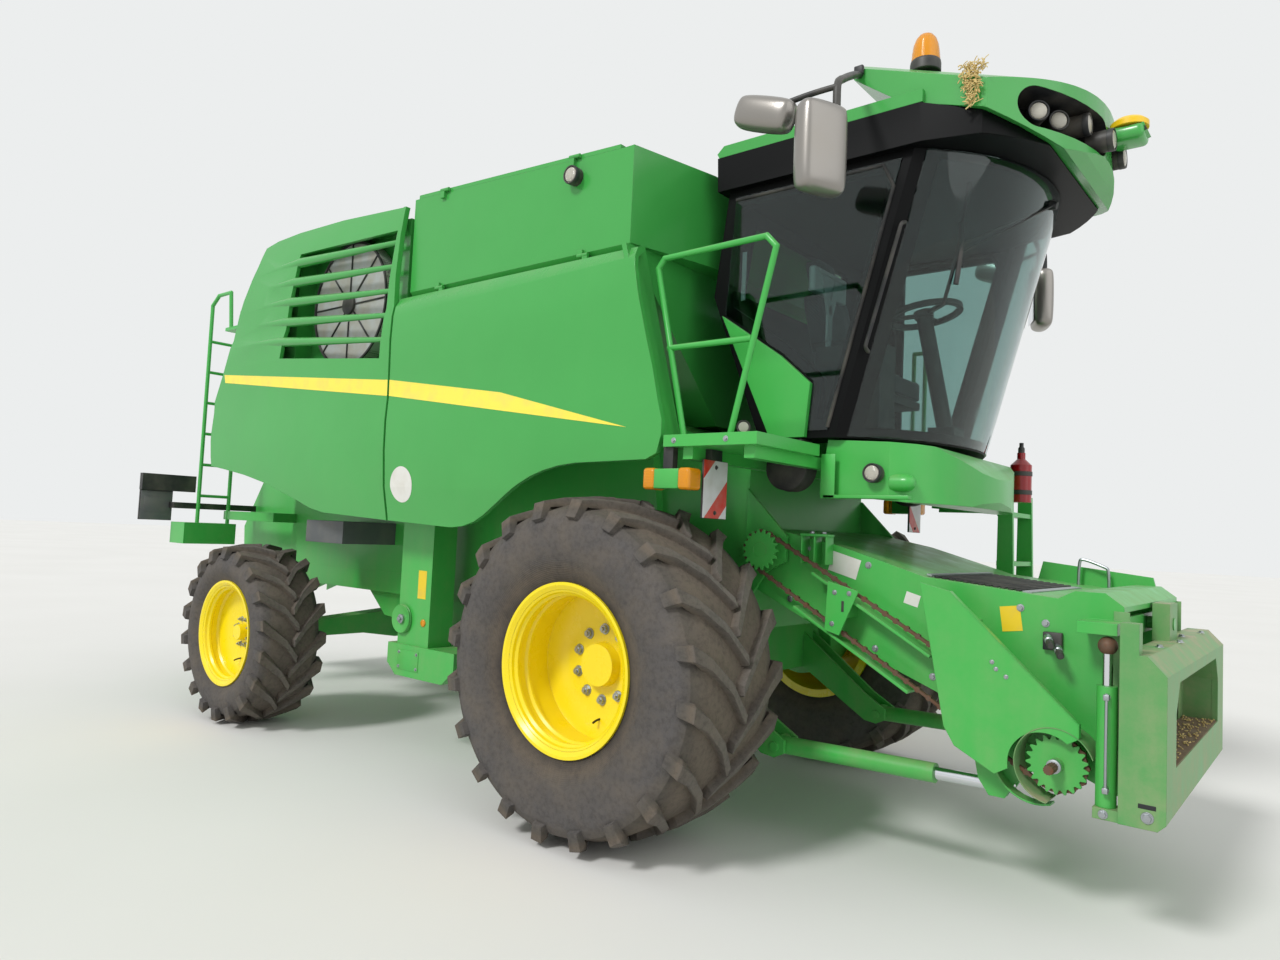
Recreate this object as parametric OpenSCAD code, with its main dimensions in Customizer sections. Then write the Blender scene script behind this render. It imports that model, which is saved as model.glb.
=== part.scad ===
// Self-propelled combine harvester without its cutting header.
// X points forward, Y to the left, Z up. The floor is Z = 0.
// Body heights are given above the floor, distances along X from the front axle.

/* [Wheels] */
// Diameter of a front tyre over its lugs
front_tyre_d = 1810; // [1770:10:1840]
// Width of a front tyre
front_tyre_w = 800; // [720:10:810]
// Diameter of a rear tyre over its lugs
rear_tyre_d = 1390; // [1340:10:1410]
// Width of a rear tyre
rear_tyre_w = 540; // [480:10:550]
// Diameter of a front rim over its flanges
front_rim_d = 895; // [860:5:920]
// Diameter of a rear rim over its flanges
rear_rim_d = 810; // [780:5:830]
// Distance between the front axle and the rear axle
wheel_base = 3650; // [3600:10:3700]
// Distance between the middles of the front tyres
front_track = 2690; // [2680:10:2740]
// Distance between the middles of the rear tyres
rear_track = 2920; // [2900:10:2960]
// Distance from a rear tyre's middle to its kingpin
kingpin_in = 340; // [335:5:350]
// Diameter of a kingpin
kingpin_d = 90; // [70:5:110]
// Thickness of a wheel disc
disc_t = 20; // [14:1:26]

/* [Frame and housing] */
// Width of the threshing and separating housing
house_w = 1440; // [1400:10:1460]
// Width of a frame rail
rail_w = 60; // [45:5:62]
// Height of a frame rail
rail_h = 160; // [130:5:180]
// Underside of the frame rails above the floor
rail_z = 1050; // [1040:5:1060]
// Height of the front axle beam
axle_beam_h = 310; // [260:10:330]
// Length of the front axle beam along the machine
axle_beam_l = 300; // [260:10:340]
// Diameter of the hole for the tow hitch's pin
hitch_d = 32; // [26:1:40]
// Thickness of the tow hitch's plate
hitch_t = 40; // [30:1:50]

/* [Side panels] */
// How far the side panels stand out beyond the grain tank's sides
panel_proud = 100; // [85:5:120]
// Thickness of a side panel
panel_t = 30; // [20:2:36]
// Place of the joint between the front and the rear panels
split_x = -1950; // [-2000:10:-1920]
// Gap between neighbouring panels
panel_gap = 12; // [8:1:20]

/* [Grain tank] */
// Width of the grain tank
tank_w = 2800; // [2760:10:2810]
// Thickness of the tank's walls
tank_t = 25; // [15:1:40]
// Top edge of the tank at its front
tank_top = 3750; // [3730:10:3770]
// Thickness of a tank lid
lid_t = 25; // [15:1:30]
// Outer diameter of the unloading tube
auger_d = 320; // [280:10:330]
// Length of the unloading tube from its swivel
auger_l = 5150; // [4900:50:5250]

/* [Cab] */
// Width of the cab over its side frames
cab_w = 1700; // [1680:10:1710]
// Floor of the cab above the ground
cab_floor = 2160; // [2150:5:2170]
// Lower edge of the roof
cab_top = 3600; // [3590:5:3620]
// Thickness of the cab's posts and walls
cab_wall = 45; // [35:5:50]
// Thickness of the glass
glass_t = 6; // [5:1:8]
// How far the windscreen bows forward
screen_bow = 420; // [380:10:430]
// Forward lean of the windscreen in degrees
screen_lean = 15; // [14:0.5:16]

/* [Feeder house] */
// Width of the feeder house
feeder_w = 1400; // [1360:10:1410]
// Thickness of the feeder house's sheets
feeder_t = 12; // [8:1:20]
// Diameter of the feeder's top shaft
feeder_shaft_d = 80; // [60:5:90]
// Width of the header frame
adapter_w = 1838; // [1800:10:1860]
// Diameter of a lift cylinder's barrel
lift_d = 95; // [80:5:110]
// Diameter of a lift cylinder's rod
lift_rod_d = 60; // [45:5:65]

/* [Hidden] */

paint = "#2f7d32";
dark = "#23262a";
rim_yellow = "#f2d400";
rubber = "#3a3733";
steel = "#b9bdc2";

// The front and rear ends of the machine, from the front axle
front_x = 2570;
rear_x = -5900;
axle_x = -(front_x + rear_x) / 2;
// Height of the front axle at which the body heights were taken
axle_datum = 905;
rise = front_tyre_d / 2 - axle_datum;
// Running clearance of pins and the seat gap between bodies
fit = 0.3;

module at_body() translate([axle_x, 0, rise]) children();
module both_sides() {
    children();
    mirror([0, 1, 0]) children();
}
// An outline in X and Z, drawn out from y0 to y1
module side_cut(y0, y1, outline) {
    translate([0, y1, 0]) rotate([90, 0, 0]) linear_extrude(y1 - y0) polygon(outline);
}
// An outline in Y and Z, drawn out from x0 to x1
module cross_cut(x0, x1, outline) {
    translate([x0, 0, 0]) rotate([90, 0, 90]) linear_extrude(x1 - x0) polygon(outline);
}
// A block between two opposite corners
module block(low, high) translate(low) cube(high - low);
// A round bar from a to b
module bar(a, b, d) {
    v = b - a;
    l = norm(v);
    translate(a) rotate([0, acos(v[2] / l), atan2(v[1], v[0])]) cylinder(d = d, h = l, $fn = 24);
}
// A round bar bent at each point of a route
module rail(route, d) {
    for (i = [0 : len(route) - 2]) bar(route[i], route[i + 1], d);
    if (len(route) > 2) for (i = [1 : len(route) - 2]) translate(route[i]) sphere(d = d * 1.04, $fn = 24);
}
// A round bar across the machine, from y0 to y1
module cross_bar(x, z, y0, y1, d) {
    translate([x, y1, z]) rotate([90, 0, 0]) cylinder(d = d, h = y1 - y0, $fn = 48);
}
function arc(x, y, r, a0, a1, n) =
    [for (i = [0 : n]) let (a = a0 + (a1 - a0) * i / n) [x + r * cos(a), y + r * sin(a)]];

// Wheels. Each is drawn round Z with its outer side up.
rim_lip = 16;
bead_drop = 40;
ridge_h = 14;
front_rim_w = 690;
rear_rim_w = 460;
front_hub_d = 400;
rear_hub_d = 220;
// Outer face of each disc from the tyre's middle
front_disc_u = 15;
rear_disc_u = 60;
spindle_d = 140;
knuckle_spindle_d = 90;
lug_h = 48;
// Lugs on each half of a tread
front_lugs = 20;
rear_lugs = 18;
lug_phase = 8.4;
// Sections of a lug from the middle outwards: share of half the tyre's width,
// depth below the tread, turn in degrees and width along the tread
lug_rows = [[-0.06, 0, 0, 50], [0.3, 2, 10.5, 54], [0.68, 12, 18.5, 62], [0.94, 28, 22, 76],
    [1, 120, 23, 66]];
// The smaller rear lugs are made of fewer sections
rear_lug_rows = [for (i = [0, 1, 3, 4]) lug_rows[i]];
lug_draft = 7;

function on_tread(r, along, w) = let (a = along / r * 180 / PI) [r * cos(a), r * sin(a), w];
// The four corners of a lug's section, its top first
function lug_section(r, half_w, row) = let (w = row[0] * half_w, top = r - row[1],
    low = min(r - lug_h - 14, top - 12), in_w = row[0] > 0.9 ? w - 36 : w,
    a = row[2], half_t = row[3] / 2) [for (c = [[top, -half_t, w], [top, half_t, w],
    [low, half_t + lug_draft, in_w], [low, -half_t - lug_draft, in_w]])
    on_tread(c[0], c[1] + a * c[0] * PI / 180, c[2])];
module lug(r, half_w, rows) {
    last = 4 * (len(rows) - 1);
    sides = [for (i = [0 : 4 : last - 4]) for (j = [0 : 3]) [i + j, i + 4 + j, i + 4 + (j + 1) % 4,
        i + (j + 1) % 4]];
    polyhedron([for (row = rows) each lug_section(r, half_w, row)],
        concat([[0, 1, 2, 3], [last + 3, last + 2, last + 1, last]], sides));
}
// A carcass with its lugs. The lugs of the two halves point forwards in a V and are half a pitch apart.
module tyre(d, w, rim_d, rim_w, lugs, rows, side) {
    r = d / 2;
    crown = r - lug_h;
    seat = rim_d / 2 - bead_drop;
    bead = rim_w / 2 - rim_lip;
    wall = (crown - seat) / 2;
    half = [[seat, bead], [seat + bead_drop, bead], [seat + wall * 0.7, w / 2 - 22],
        [seat + wall, w / 2 - 12], [crown - 95, w / 2 - 20], [crown - 35, w / 2 - 50], [crown, w * 0.3]];
    mirrored = [for (i = [len(half) - 1 : -1 : 0]) [half[i][0], -half[i][1]]];
    color(rubber) {
        rotate_extrude($fn = 96) polygon(concat(half, mirrored));
        mirror([0, side > 0 ? 1 : 0, 0]) for (s = [0, 1]) mirror([0, 0, s]) for (i = [0 : lugs - 1])
            rotate([0, 0, lug_phase + 360 / lugs * (i + s / 2)]) lug(r, w / 2, rows);
    }
}

module rim(rim_d, rim_w, disc_u, hub_d, hub_in, bore_d) {
    seat = rim_d / 2 - bead_drop;
    inner = seat - rim_lip;
    half_w = rim_w / 2;
    flat = hub_d / 2 + 40;
    // Inside the outer lip a ridge runs round the barrel on each side of the bead's seat
    ridges = [for (v = [half_w - rim_lip - 24, half_w - rim_lip - 100])
        each [[inner, v], [inner - ridge_h, v - 12], [inner - ridge_h, v - 28], [inner, v - 40]]];
    barrel = concat([[inner, -half_w], [rim_d / 2, -half_w], [rim_d / 2, -half_w + rim_lip],
        [seat, -half_w + rim_lip], [seat, half_w - rim_lip], [rim_d / 2, half_w - rim_lip],
        [rim_d / 2, half_w], [rim_d / 2 - rim_lip, half_w], [inner + 4, half_w - rim_lip - 8]], ridges);
    disc = [[bore_d / 2 + fit, disc_u - disc_t], [flat, disc_u - disc_t], [inner, disc_u + 20],
        [inner, disc_u + 20 + disc_t], [flat, disc_u], [hub_d * 0.3, disc_u],
        [hub_d * 0.3 - 8, disc_u + 60], [0, disc_u + 60], [0, disc_u + 10], [bore_d / 2 + fit, disc_u + 10]];
    hub = [[bore_d / 2 + fit, hub_in], [hub_d / 2, hub_in], [hub_d / 2, disc_u - disc_t],
        [bore_d / 2 + fit, disc_u - disc_t]];
    color(rim_yellow) rotate_extrude($fn = 96) {
        polygon(barrel);
        polygon(disc);
        polygon(hub);
    }
}

front_hub_end = 1160;
front_hub_in = front_hub_end + fit - front_track / 2;

// Side is 1 on the left and -1 on the right
module on_front_wheel(side) {
    translate([axle_x, side * front_track / 2, front_tyre_d / 2]) rotate([-side * 90, 0, 0]) children();
}
module on_rear_wheel(side) {
    translate([axle_x - wheel_base, side * rear_track / 2, rear_tyre_d / 2])
        rotate([-side * 90, 0, 0]) children();
}
module front_tyre(side) {
    on_front_wheel(side)
        tyre(front_tyre_d, front_tyre_w, front_rim_d, front_rim_w, front_lugs, lug_rows, side);
}
module rear_tyre(side) {
    on_rear_wheel(side)
        tyre(rear_tyre_d, rear_tyre_w, rear_rim_d, rear_rim_w, rear_lugs, rear_lug_rows, side);
}
module front_rim(side) {
    on_front_wheel(side)
        rim(front_rim_d, front_rim_w, front_disc_u, front_hub_d, front_hub_in, spindle_d);
}
module rear_rim(side) {
    on_rear_wheel(side)
        rim(rear_rim_d, rear_rim_w, rear_disc_u, rear_hub_d, rear_hub_in, knuckle_spindle_d);
}
module tyre_front_left() front_tyre(1);
module tyre_front_right() front_tyre(-1);
module rim_front_left() front_rim(1);
module rim_front_right() front_rim(-1);
module tyre_rear_left() rear_tyre(1);
module tyre_rear_right() rear_tyre(-1);
module rim_rear_left() rear_rim(1);
module rim_rear_right() rear_rim(-1);

// Frame and axles
house_half = house_w / 2;
tank_half = tank_w / 2;
panel_half = tank_half + panel_proud;
rail_rear = -4350;
rail_front = 480;
rear_beam_half = 90;
pivot_d = 90;
rear_z = rear_tyre_d / 2;
front_z = axle_datum;
kingpin_y = rear_track / 2 - kingpin_in;
kingpin_h = 150;
boss_d = kingpin_d + 40;
rear_hub_in = boss_d / 2 + 40 + fit - kingpin_in;
lift_base = [700, 500];
lift_y = 650;
lift_pin_d = 50;
// Width of the cylinder's lower eye, and of the eye on its rod
lift_eye_w = lift_d + 10;
rod_eye_w = lift_rod_d + 6;
ear_t = 20;
ear_gap = 5;
drive_in = house_half + rail_w + 10;
hitch_x = rail_rear - 150;

module chassis() {
    rear_at = -wheel_base;
    color(paint) at_body() {
        both_sides() block([rail_rear, house_half, rail_z],
            [rail_front, house_half + rail_w, rail_z + rail_h]);
        block([-150, -house_half, rail_z], [150, house_half, 1100]);
        block([rear_at - 150, -house_half, rail_z], [rear_at + 150, house_half, 1150]);
        difference() {
            for (s = [-1, 1]) block([rear_at + s * (rear_beam_half + 20) - 15, -170, rear_z - rise - 70],
                [rear_at + s * (rear_beam_half + 20) + 15, 170, rail_z]);
            translate([rear_at - 150, 0, rear_z - rise + 10]) rotate([0, 90, 0])
                cylinder(d = pivot_d + 2 * fit, h = 300, $fn = 48);
        }
        block([rail_rear, -house_half, rail_z + 10], [rail_rear + 60, house_half, rail_z + 80]);
        difference() {
            block([hitch_x - 60, -70, rail_z + 10], [rail_rear + 1, 70, rail_z + 10 + hitch_t]);
            translate([hitch_x, 0, rail_z]) cylinder(d = hitch_d, h = 100, $fn = 48);
        }
    }
}

module front_axle() {
    beam_top = rail_z;
    color(paint) at_body() {
        block([-axle_beam_l / 2, -drive_in, beam_top - axle_beam_h], [axle_beam_l / 2, drive_in, beam_top]);
        both_sides() {
            cross_bar(0, front_z, drive_in, front_hub_end - 120, 500);
            cross_bar(0, front_z, front_hub_end - 120, front_hub_end, front_hub_d + 30);
            cross_bar(0, front_z, front_hub_end, front_track / 2 + front_disc_u, spindle_d);
            for (s = [-1, 1]) side_cut(lift_y + s * (lift_eye_w / 2 + ear_t / 2 + ear_gap) - ear_t / 2,
                lift_y + s * (lift_eye_w / 2 + ear_t / 2 + ear_gap) + ear_t / 2,
                [[axle_beam_l / 2, 980], [axle_beam_l / 2, beam_top - axle_beam_h], [620, 450], [700, 440],
                [760, 470], [760, 540], [620, 620]]);
            cross_bar(lift_base[0], lift_base[1], lift_y - lift_eye_w / 2 - ear_t - 15,
                lift_y + lift_eye_w / 2 + ear_t + 15, lift_pin_d);
        }
    }
}

module rear_axle() {
    color(paint) translate([axle_x - wheel_base, 0, rear_z]) {
        cross_cut(-rear_beam_half, rear_beam_half, [[-kingpin_y + 70, -60], [-500, -60], [-180, -110],
            [180, -110], [500, -60], [kingpin_y - 70, -60], [kingpin_y - 70, 60], [200, 130],
            [-200, 130], [-kingpin_y + 70, 60]]);
        both_sides() difference() {
            union() {
                translate([0, kingpin_y, -60]) cylinder(d = boss_d, h = 120, $fn = 48);
                translate([-45, kingpin_y - 100, -60]) cube([90, 100, 120]);
            }
            translate([0, kingpin_y, -70]) cylinder(d = kingpin_d + 2 * fit, h = 140, $fn = 48);
        }
        translate([-rear_beam_half - 40, 0, 10]) rotate([0, 90, 0])
            cylinder(d = pivot_d, h = 2 * rear_beam_half + 80, $fn = 48);
    }
}

// The part that steers: kingpin, two forks and the spindle
module knuckle(side) {
    fork = 70;
    color(paint) translate([axle_x - wheel_base, side * kingpin_y, rear_z]) {
        translate([0, 0, -kingpin_h]) cylinder(d = kingpin_d, h = 2 * kingpin_h, $fn = 48);
        for (s = [-1, 1]) translate([0, 0, s > 0 ? 61 : -61 - fork])
            cylinder(d = kingpin_d + 40, h = fork, $fn = 48);
        mirror([0, side > 0 ? 0 : 1, 0]) {
            block([-60, boss_d / 2 + 7, -131], [60, boss_d / 2 + 40, 131]);
            for (s = [-1, 1]) block([-60, 0, s > 0 ? 61 : -131], [60, boss_d / 2 + 40, s > 0 ? 131 : -61]);
            translate([0, 100, 0]) rotate([-90, 0, 0])
                cylinder(d = knuckle_spindle_d, h = kingpin_in + rear_disc_u - 100, $fn = 48);
        }
    }
}
module knuckle_left() knuckle(1);
module knuckle_right() knuckle(-1);

// Housing, hood and engine
house_top = 2300;
module separator_housing() {
    outline = [[rail_front, 1100], [rail_front, 2060], [-100, house_top], [-4350, house_top],
        [-4470, 1950], [-4470, 1250], [-4300, 1150], [-3300, 1150], [-2950, 860], [-1750, 760],
        [-1400, 900], [-650, 1100]];
    shaft_cheek = [[rail_front, 1230], [620, 1440], [740, 1500], [740, 1640], [rail_front, 1900]];
    color(paint) at_body() {
        side_cut(-house_half, house_half, outline);
        both_sides() difference() {
            side_cut(house_half, house_half + 25, shaft_cheek);
            cross_bar(620, 1560, house_half - 1, house_half + 26, feeder_shaft_d + 2 * fit);
        }
        both_sides() side_cut(house_half, house_half + rail_w,
            [[-600, rail_z + rail_h], [-4200, rail_z + rail_h],
            [-4350, 1500], [-4300, 2200], [-200, 2200], [-100, 1500]]);
    }
}

hood_half = tank_half - 20;
hood_wall = 30;
hood_front = split_x - 10;
screen_at = [-2720, 3230];
screen_d = 960;
screen_back = hood_half - 140;
// Vertical hinges of the rear panels
rear_hinge = [-4430, panel_half - 60];
rear_hinge_z = [2310, 2450];
hinge_d = 24;
knuckle_h = 40;
// Post that the front edge of a rear panel closes against
latch_z = [2310, 2440];
module rear_hood() {
    left_top = 3340;
    color(paint) at_body() difference() {
        union() {
            side_cut(-hood_half, hood_half - 180, [[hood_front, house_top], [hood_front, 3740], [-2770, 3800],
                [-3400, 3820], [-3740, 3810], [-3880, 3760], [-3960, 3640], [-4110, 3380],
                [-4310, 2800], [-4440, 2560], [-4440, house_top]]);
            side_cut(hood_half - 180, hood_half, [[hood_front, house_top], [hood_front, left_top],
                [-4120, left_top],
                [-4310, 2800], [-4440, 2560], [-4440, house_top]]);
            both_sides() {
                block([-2100, hood_half - 1, latch_z[0]],
                    [-2040, panel_half - panel_t - skin_dip(latch_z[1]) - fit, latch_z[1]]);
                for (z = rear_hinge_z) {
                    block([rear_hinge[0] - 10, hood_half - 1, z],
                        [rear_hinge[0] + 10, rear_hinge[1], z + knuckle_h]);
                    translate([rear_hinge[0], rear_hinge[1], z])
                        cylinder(d = hinge_d, h = knuckle_h, $fn = 32);
                }
            }
        }
        side_cut(-screen_back + hood_wall, hood_half - 200, [[hood_front - hood_wall, house_top - 10],
            [hood_front - hood_wall, 3700], [-3740, 3770], [-4270, 2800], [-4400, 2540],
                [-4400, house_top - 10]]);
        block([-3420, -hood_half - 1, screen_at[1] - screen_d / 2 - 20],
            [-2060, -screen_back, screen_at[1] + screen_d / 2 + 20]);
    }
}

module engine() {
    color("#4a4d50") at_body() block([-3350, -620, house_top], [-2150, 700, 3450]);
}

module rotary_screen() {
    depth = 110;
    spokes = 6;
    color(steel) at_body() translate([screen_at[0], -screen_back, screen_at[1]]) rotate([90, 0, 0]) {
        translate([0, 0, fit]) cylinder(d = 120, h = depth, $fn = 48);
        difference() {
            translate([0, 0, 20]) cylinder(d = screen_d, h = depth - 20, $fn = 96);
            translate([0, 0, 10]) cylinder(d = screen_d - 40, h = depth - 20, $fn = 96);
        }
        for (i = [0 : spokes - 1]) rotate([0, 0, 360 * i / spokes])
            translate([50, -12, 60]) cube([screen_d / 2 - 60, 24, depth - 66]);
    }
}

// Side panels. Each row of the skin gives a height and how far the skin lies inside the widest point.
skin = [[1500, 75], [1650, 60], [1850, 22], [2100, 4], [2300, 2], [2480, 12], [2640, 8], [2850, 2],
    [3020, 8], [3090, 22]];
function skin_dip(z) = lookup(z, skin);
function panel_section(inset) = concat([[0, skin[0][0]]],
    [for (row = skin) [panel_half - row[1] - inset, row[0]]]);
panel_top = 3165;
function front_section(inset) = concat(panel_section(inset), [[panel_half - 60 - inset, 3150 - inset],
    [panel_half - 96 - inset, panel_top - inset], [0, panel_top - inset]]);
// Upper rows of the rear panels' skin: height, and how far the skin lies inside the widest point
rear_skin = [[3300, 20], [3600, 40], [3780, 65], [4000, 110]];
function rear_section(inset) = concat(panel_section(inset),
    [for (row = rear_skin) [panel_half - row[1] - inset, row[0]]], [[0, 4000]]);

front_outline = [[split_x + panel_gap / 2, 1625], [-1400, 1604], [-1270, 1600], [-1160, 1611], [-1050, 1641],
    [-950, 1688], [-840, 1752], [-730, 1817], [-630, 1871], [-530, 1915], [-420, 1950], [-300, 1975],
    [-170, 1989], [330, 2000], [400, 2030], [430, 2120], [430, 2200], [380, 2370], [300, 2640],
    [230, 2900], [170, 3170], [split_x + panel_gap / 2, 3170]];
rear_outline = [[split_x - panel_gap / 2, 1625], [split_x - panel_gap / 2, 3805], [-2770, 3870],
    [-3400, 3890],
    [-3740, 3880], [-3920, 3850], [-3990, 3700], [-4150, 3420], [-4360, 2840], [-4510, 2580], [-4520, 2240],
    [-4490, 2020], [-4250, 1990], [-3900, 1940], [-3490, 1860], [-3180, 1770], [-2930, 1690], [-2750, 1660]];

// The panel's top edge turns in over the hopper's side as far as this
flange_in = tank_half - 25;
module panel_shell(outer, inner, outline, x0, x1) {
    intersection() {
        difference() {
            cross_cut(x0, x1, outer);
            cross_cut(x0 - 1, x1 + 1, inner);
        }
        side_cut(flange_in, panel_half + 10, outline);
    }
}
// Hinges along the top of the front panels, under the tank's edge
front_hinge = [tank_half + 12, panel_top + 17];
front_hinge_x = [-1600, -300];
module front_panel() {
    color(paint) at_body() {
        panel_shell(front_section(0), front_section(panel_t), front_outline, split_x, 430);
        for (x = front_hinge_x) {
            translate([x + knuckle_h + fit, front_hinge[0], front_hinge[1]]) rotate([0, 90, 0])
                cylinder(d = hinge_d, h = knuckle_h, $fn = 32);
            block([x + knuckle_h + fit, front_hinge[0] - 8, panel_top - 12],
                [x + 2 * knuckle_h, front_hinge[0] + 8, front_hinge[1]]);
        }
        // The wrap that turns in towards the cab
        intersection() {
            rotate([0, -15.8, 0]) block([950, panel_half - 190, 1900], [980, panel_half - 20, 3400]);
            side_cut(1200, panel_half + 10, front_outline);
        }
    }
}
seam_w = 28;
seam_h = 7;
module rear_panel(top) {
    louvre_hole = [[-3310, 3690], [-2010, 3640], [-2080, 2740], [-3440, 2860]];
    color(paint) at_body() difference() {
        intersection() {
            union() {
                panel_shell(rear_section(0), rear_section(panel_t), rear_outline, -4600, split_x);
                // Raised flange along the joint with the front panel
                panel_shell(rear_section(-seam_h), rear_section(panel_t), rear_outline,
                    split_x - panel_gap / 2 - seam_w, split_x);
            }
            block([-4600, 1200, 1500], [split_x, panel_half + seam_h, top]);
        }
        if (top > 3500) side_cut(1200, panel_half + 10, louvre_hole);
    }
    color(paint) at_body() for (z = rear_hinge_z) {
        translate([rear_hinge[0], rear_hinge[1], z + knuckle_h + fit])
            cylinder(d = hinge_d, h = knuckle_h, $fn = 32);
        block([rear_hinge[0] - 10, rear_hinge[1], z + knuckle_h + fit],
            [rear_hinge[0] + 10, panel_half - panel_t, z + 2 * knuckle_h]);
    }
}
// A louvre swells from a tip that stands on the panel and thins again towards the opening's front edge
louvres = 5;
louvre_d = 78;
module louvre(i) {
    tip = [-4000 + 63 * i, 3030 + 150 * i];
    front = [-2040 + 12 * i, 2870 + 172 * i];
    full = tip + 0.26 * (front - tip) + [0, 12];
    function skin_y(z) = panel_half - lookup(z, concat(skin, rear_skin));
    hull() {
        translate([tip[0], skin_y(tip[1]) - 14, tip[1]]) sphere(d = 24, $fn = 16);
        translate([full[0], skin_y(full[1]) - 22, full[1]]) sphere(d = louvre_d, $fn = 16);
        translate([front[0], skin_y(front[1]) - 18, front[1]]) sphere(d = 34, $fn = 16);
    }
}
module panel_front_left() front_panel();
module panel_front_right() mirror([0, 1, 0]) front_panel();
module panel_rear_left() rear_panel(3330);
module panel_rear_right() mirror([0, 1, 0]) {
    rear_panel(4000);
    color(paint) at_body() for (i = [0 : louvres - 1]) louvre(i);
}

// Grain tank
tank_rear = -1900;
tank_low = 3200;
// The tank's top edge and its lids climb towards the rear by this much
lid_rise = 100;
lid_slope = atan2(lid_rise, -tank_rear);
lid_hinge = [tank_half + 14, fit + lid_t / 2];
lid_hinge_x = [-1600, -400];
// Along the sloping edge, with the edge's front end at the origin
module along_lid() translate([0, 0, tank_top]) rotate([0, lid_slope, 0]) children();
module grain_tank() {
    plan = [[tank_rear, -tank_half], [80, -tank_half], [210, -800], [210, 800], [80, tank_half],
        [tank_rear, tank_half]];
    plan_in = [[tank_rear + tank_t, -tank_half + tank_t], [80 - tank_t, -tank_half + tank_t],
        [210 - tank_t, -800 + tank_t / 3], [210 - tank_t, 800 - tank_t / 3],
            [80 - tank_t, tank_half - tank_t],
        [tank_rear + tank_t, tank_half - tank_t]];
    hopper = [[-500, house_top], [500, house_top], [tank_half, tank_low], [-tank_half, tank_low]];
    hopper_in = [[-480, house_top + 60], [480, house_top + 60], [tank_half - tank_t, tank_low + 20],
        [-tank_half + tank_t, tank_low + 20]];
    color(paint) at_body() difference() {
        union() {
            translate([0, 0, tank_low]) linear_extrude(tank_top - tank_low) polygon(plan);
            cross_cut(tank_rear, 80, hopper);
            side_cut(-tank_half, tank_half, [[tank_rear, tank_top - 1], [0, tank_top - 1], [0, tank_top],
                [tank_rear, tank_top + lid_rise]]);
            // Knuckles that the front panels hang on
            both_sides() for (x = front_hinge_x) {
                translate([x, front_hinge[0], front_hinge[1]]) rotate([0, 90, 0])
                    cylinder(d = hinge_d, h = knuckle_h, $fn = 32);
                block([x, tank_half - 8, front_hinge[1]], [x + knuckle_h, front_hinge[0] + 8, tank_low + 15]);
            }
            // Knuckles that the lids swing on
            both_sides() for (x = lid_hinge_x) along_lid() {
                translate([x, lid_hinge[0], lid_hinge[1]]) rotate([0, 90, 0])
                    cylinder(d = hinge_d, h = knuckle_h, $fn = 32);
                block([x, tank_half - 1, -40], [x + knuckle_h, lid_hinge[0] + 8, -2]);
                block([x, tank_half + 3, -3], [x + knuckle_h, lid_hinge[0] + 8, lid_hinge[1]]);
            }
        }
        translate([0, 0, tank_low + 10]) linear_extrude(800) polygon(plan_in);
        cross_cut(tank_rear + tank_t, 80 - tank_t, hopper_in);
    }
}

// The swivel that carries the unloading tube
turret = [-60, 1570];
auger_z = 3600;
swivel_z = 3390;
turret_low = 3235;
module auger_turret() {
    color(paint) at_body() {
        translate([turret[0], turret[1], turret_low])
            cylinder(d = auger_d + 20, h = swivel_z - turret_low, $fn = 64);
        block([turret[0] - 120, tank_half, turret_low + 5],
            [turret[0] + 120, turret[1] - auger_d / 2 + 40, swivel_z - 20]);
    }
}
module unloading_auger() {
    color(paint) at_body() translate([turret[0], turret[1], 0]) {
        translate([0, 0, swivel_z + fit]) cylinder(d = auger_d, h = auger_z - swivel_z - fit, $fn = 64);
        translate([0, 0, auger_z]) sphere(d = auger_d + 8, $fn = 64);
        translate([0, 0, auger_z]) rotate([0, -90, 0]) cylinder(d = auger_d, h = auger_l, $fn = 64);
        translate([-auger_l + 10, 0, auger_z]) rotate([0, -150, 0])
            cylinder(d = auger_d - 20, h = 330, $fn = 64);
    }
}

// A lid lies on the tank's edge and is hinged along its outer side
module tank_lid(side) {
    color(paint) at_body() mirror([0, side > 0 ? 0 : 1, 0]) along_lid() {
        block([tank_rear + 40, 8, fit], [-20, tank_half, fit + lid_t]);
        for (x = lid_hinge_x) {
            translate([x + knuckle_h + fit, lid_hinge[0], lid_hinge[1]]) rotate([0, 90, 0])
                cylinder(d = hinge_d, h = knuckle_h, $fn = 32);
            block([x + knuckle_h + fit, tank_half - 1, lid_hinge[1] - 8],
                [x + 2 * knuckle_h, lid_hinge[0], lid_hinge[1] + 8]);
        }
    }
}
module tank_lid_left() tank_lid(1);
module tank_lid_right() tank_lid(-1);

// Cab
cab_half = cab_w / 2;
pillar_x = 1060;
lean_run = (cab_top - cab_floor) * tan(screen_lean);
screen_r = (cab_half * cab_half + screen_bow * screen_bow) / (2 * screen_bow);
screen_half_a = asin(cab_half / screen_r);
function cab_side(inset) = [[610 + inset, cab_floor + inset], [270 + inset, 3000],
    [350 + inset, cab_top - inset],
    [2600, cab_top - inset], [2600, cab_floor + inset]];
function bow(inset) = concat([[-1500, -cab_half + inset]],
    arc(screen_bow - screen_r, 0, screen_r - inset, -screen_half_a, screen_half_a, 16),
        [[-1500, cab_half - inset]]);
// A shape that is drawn out along the leaning windscreen
module leaning() translate([pillar_x, 0, cab_floor]) rotate([0, screen_lean, 0]) translate([0, 0, -600])
    linear_extrude(2800) children();
module cab_body(inset) intersection() {
    side_cut(-cab_half + inset, cab_half - inset, cab_side(inset));
    leaning() polygon(bow(inset));
}
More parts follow.
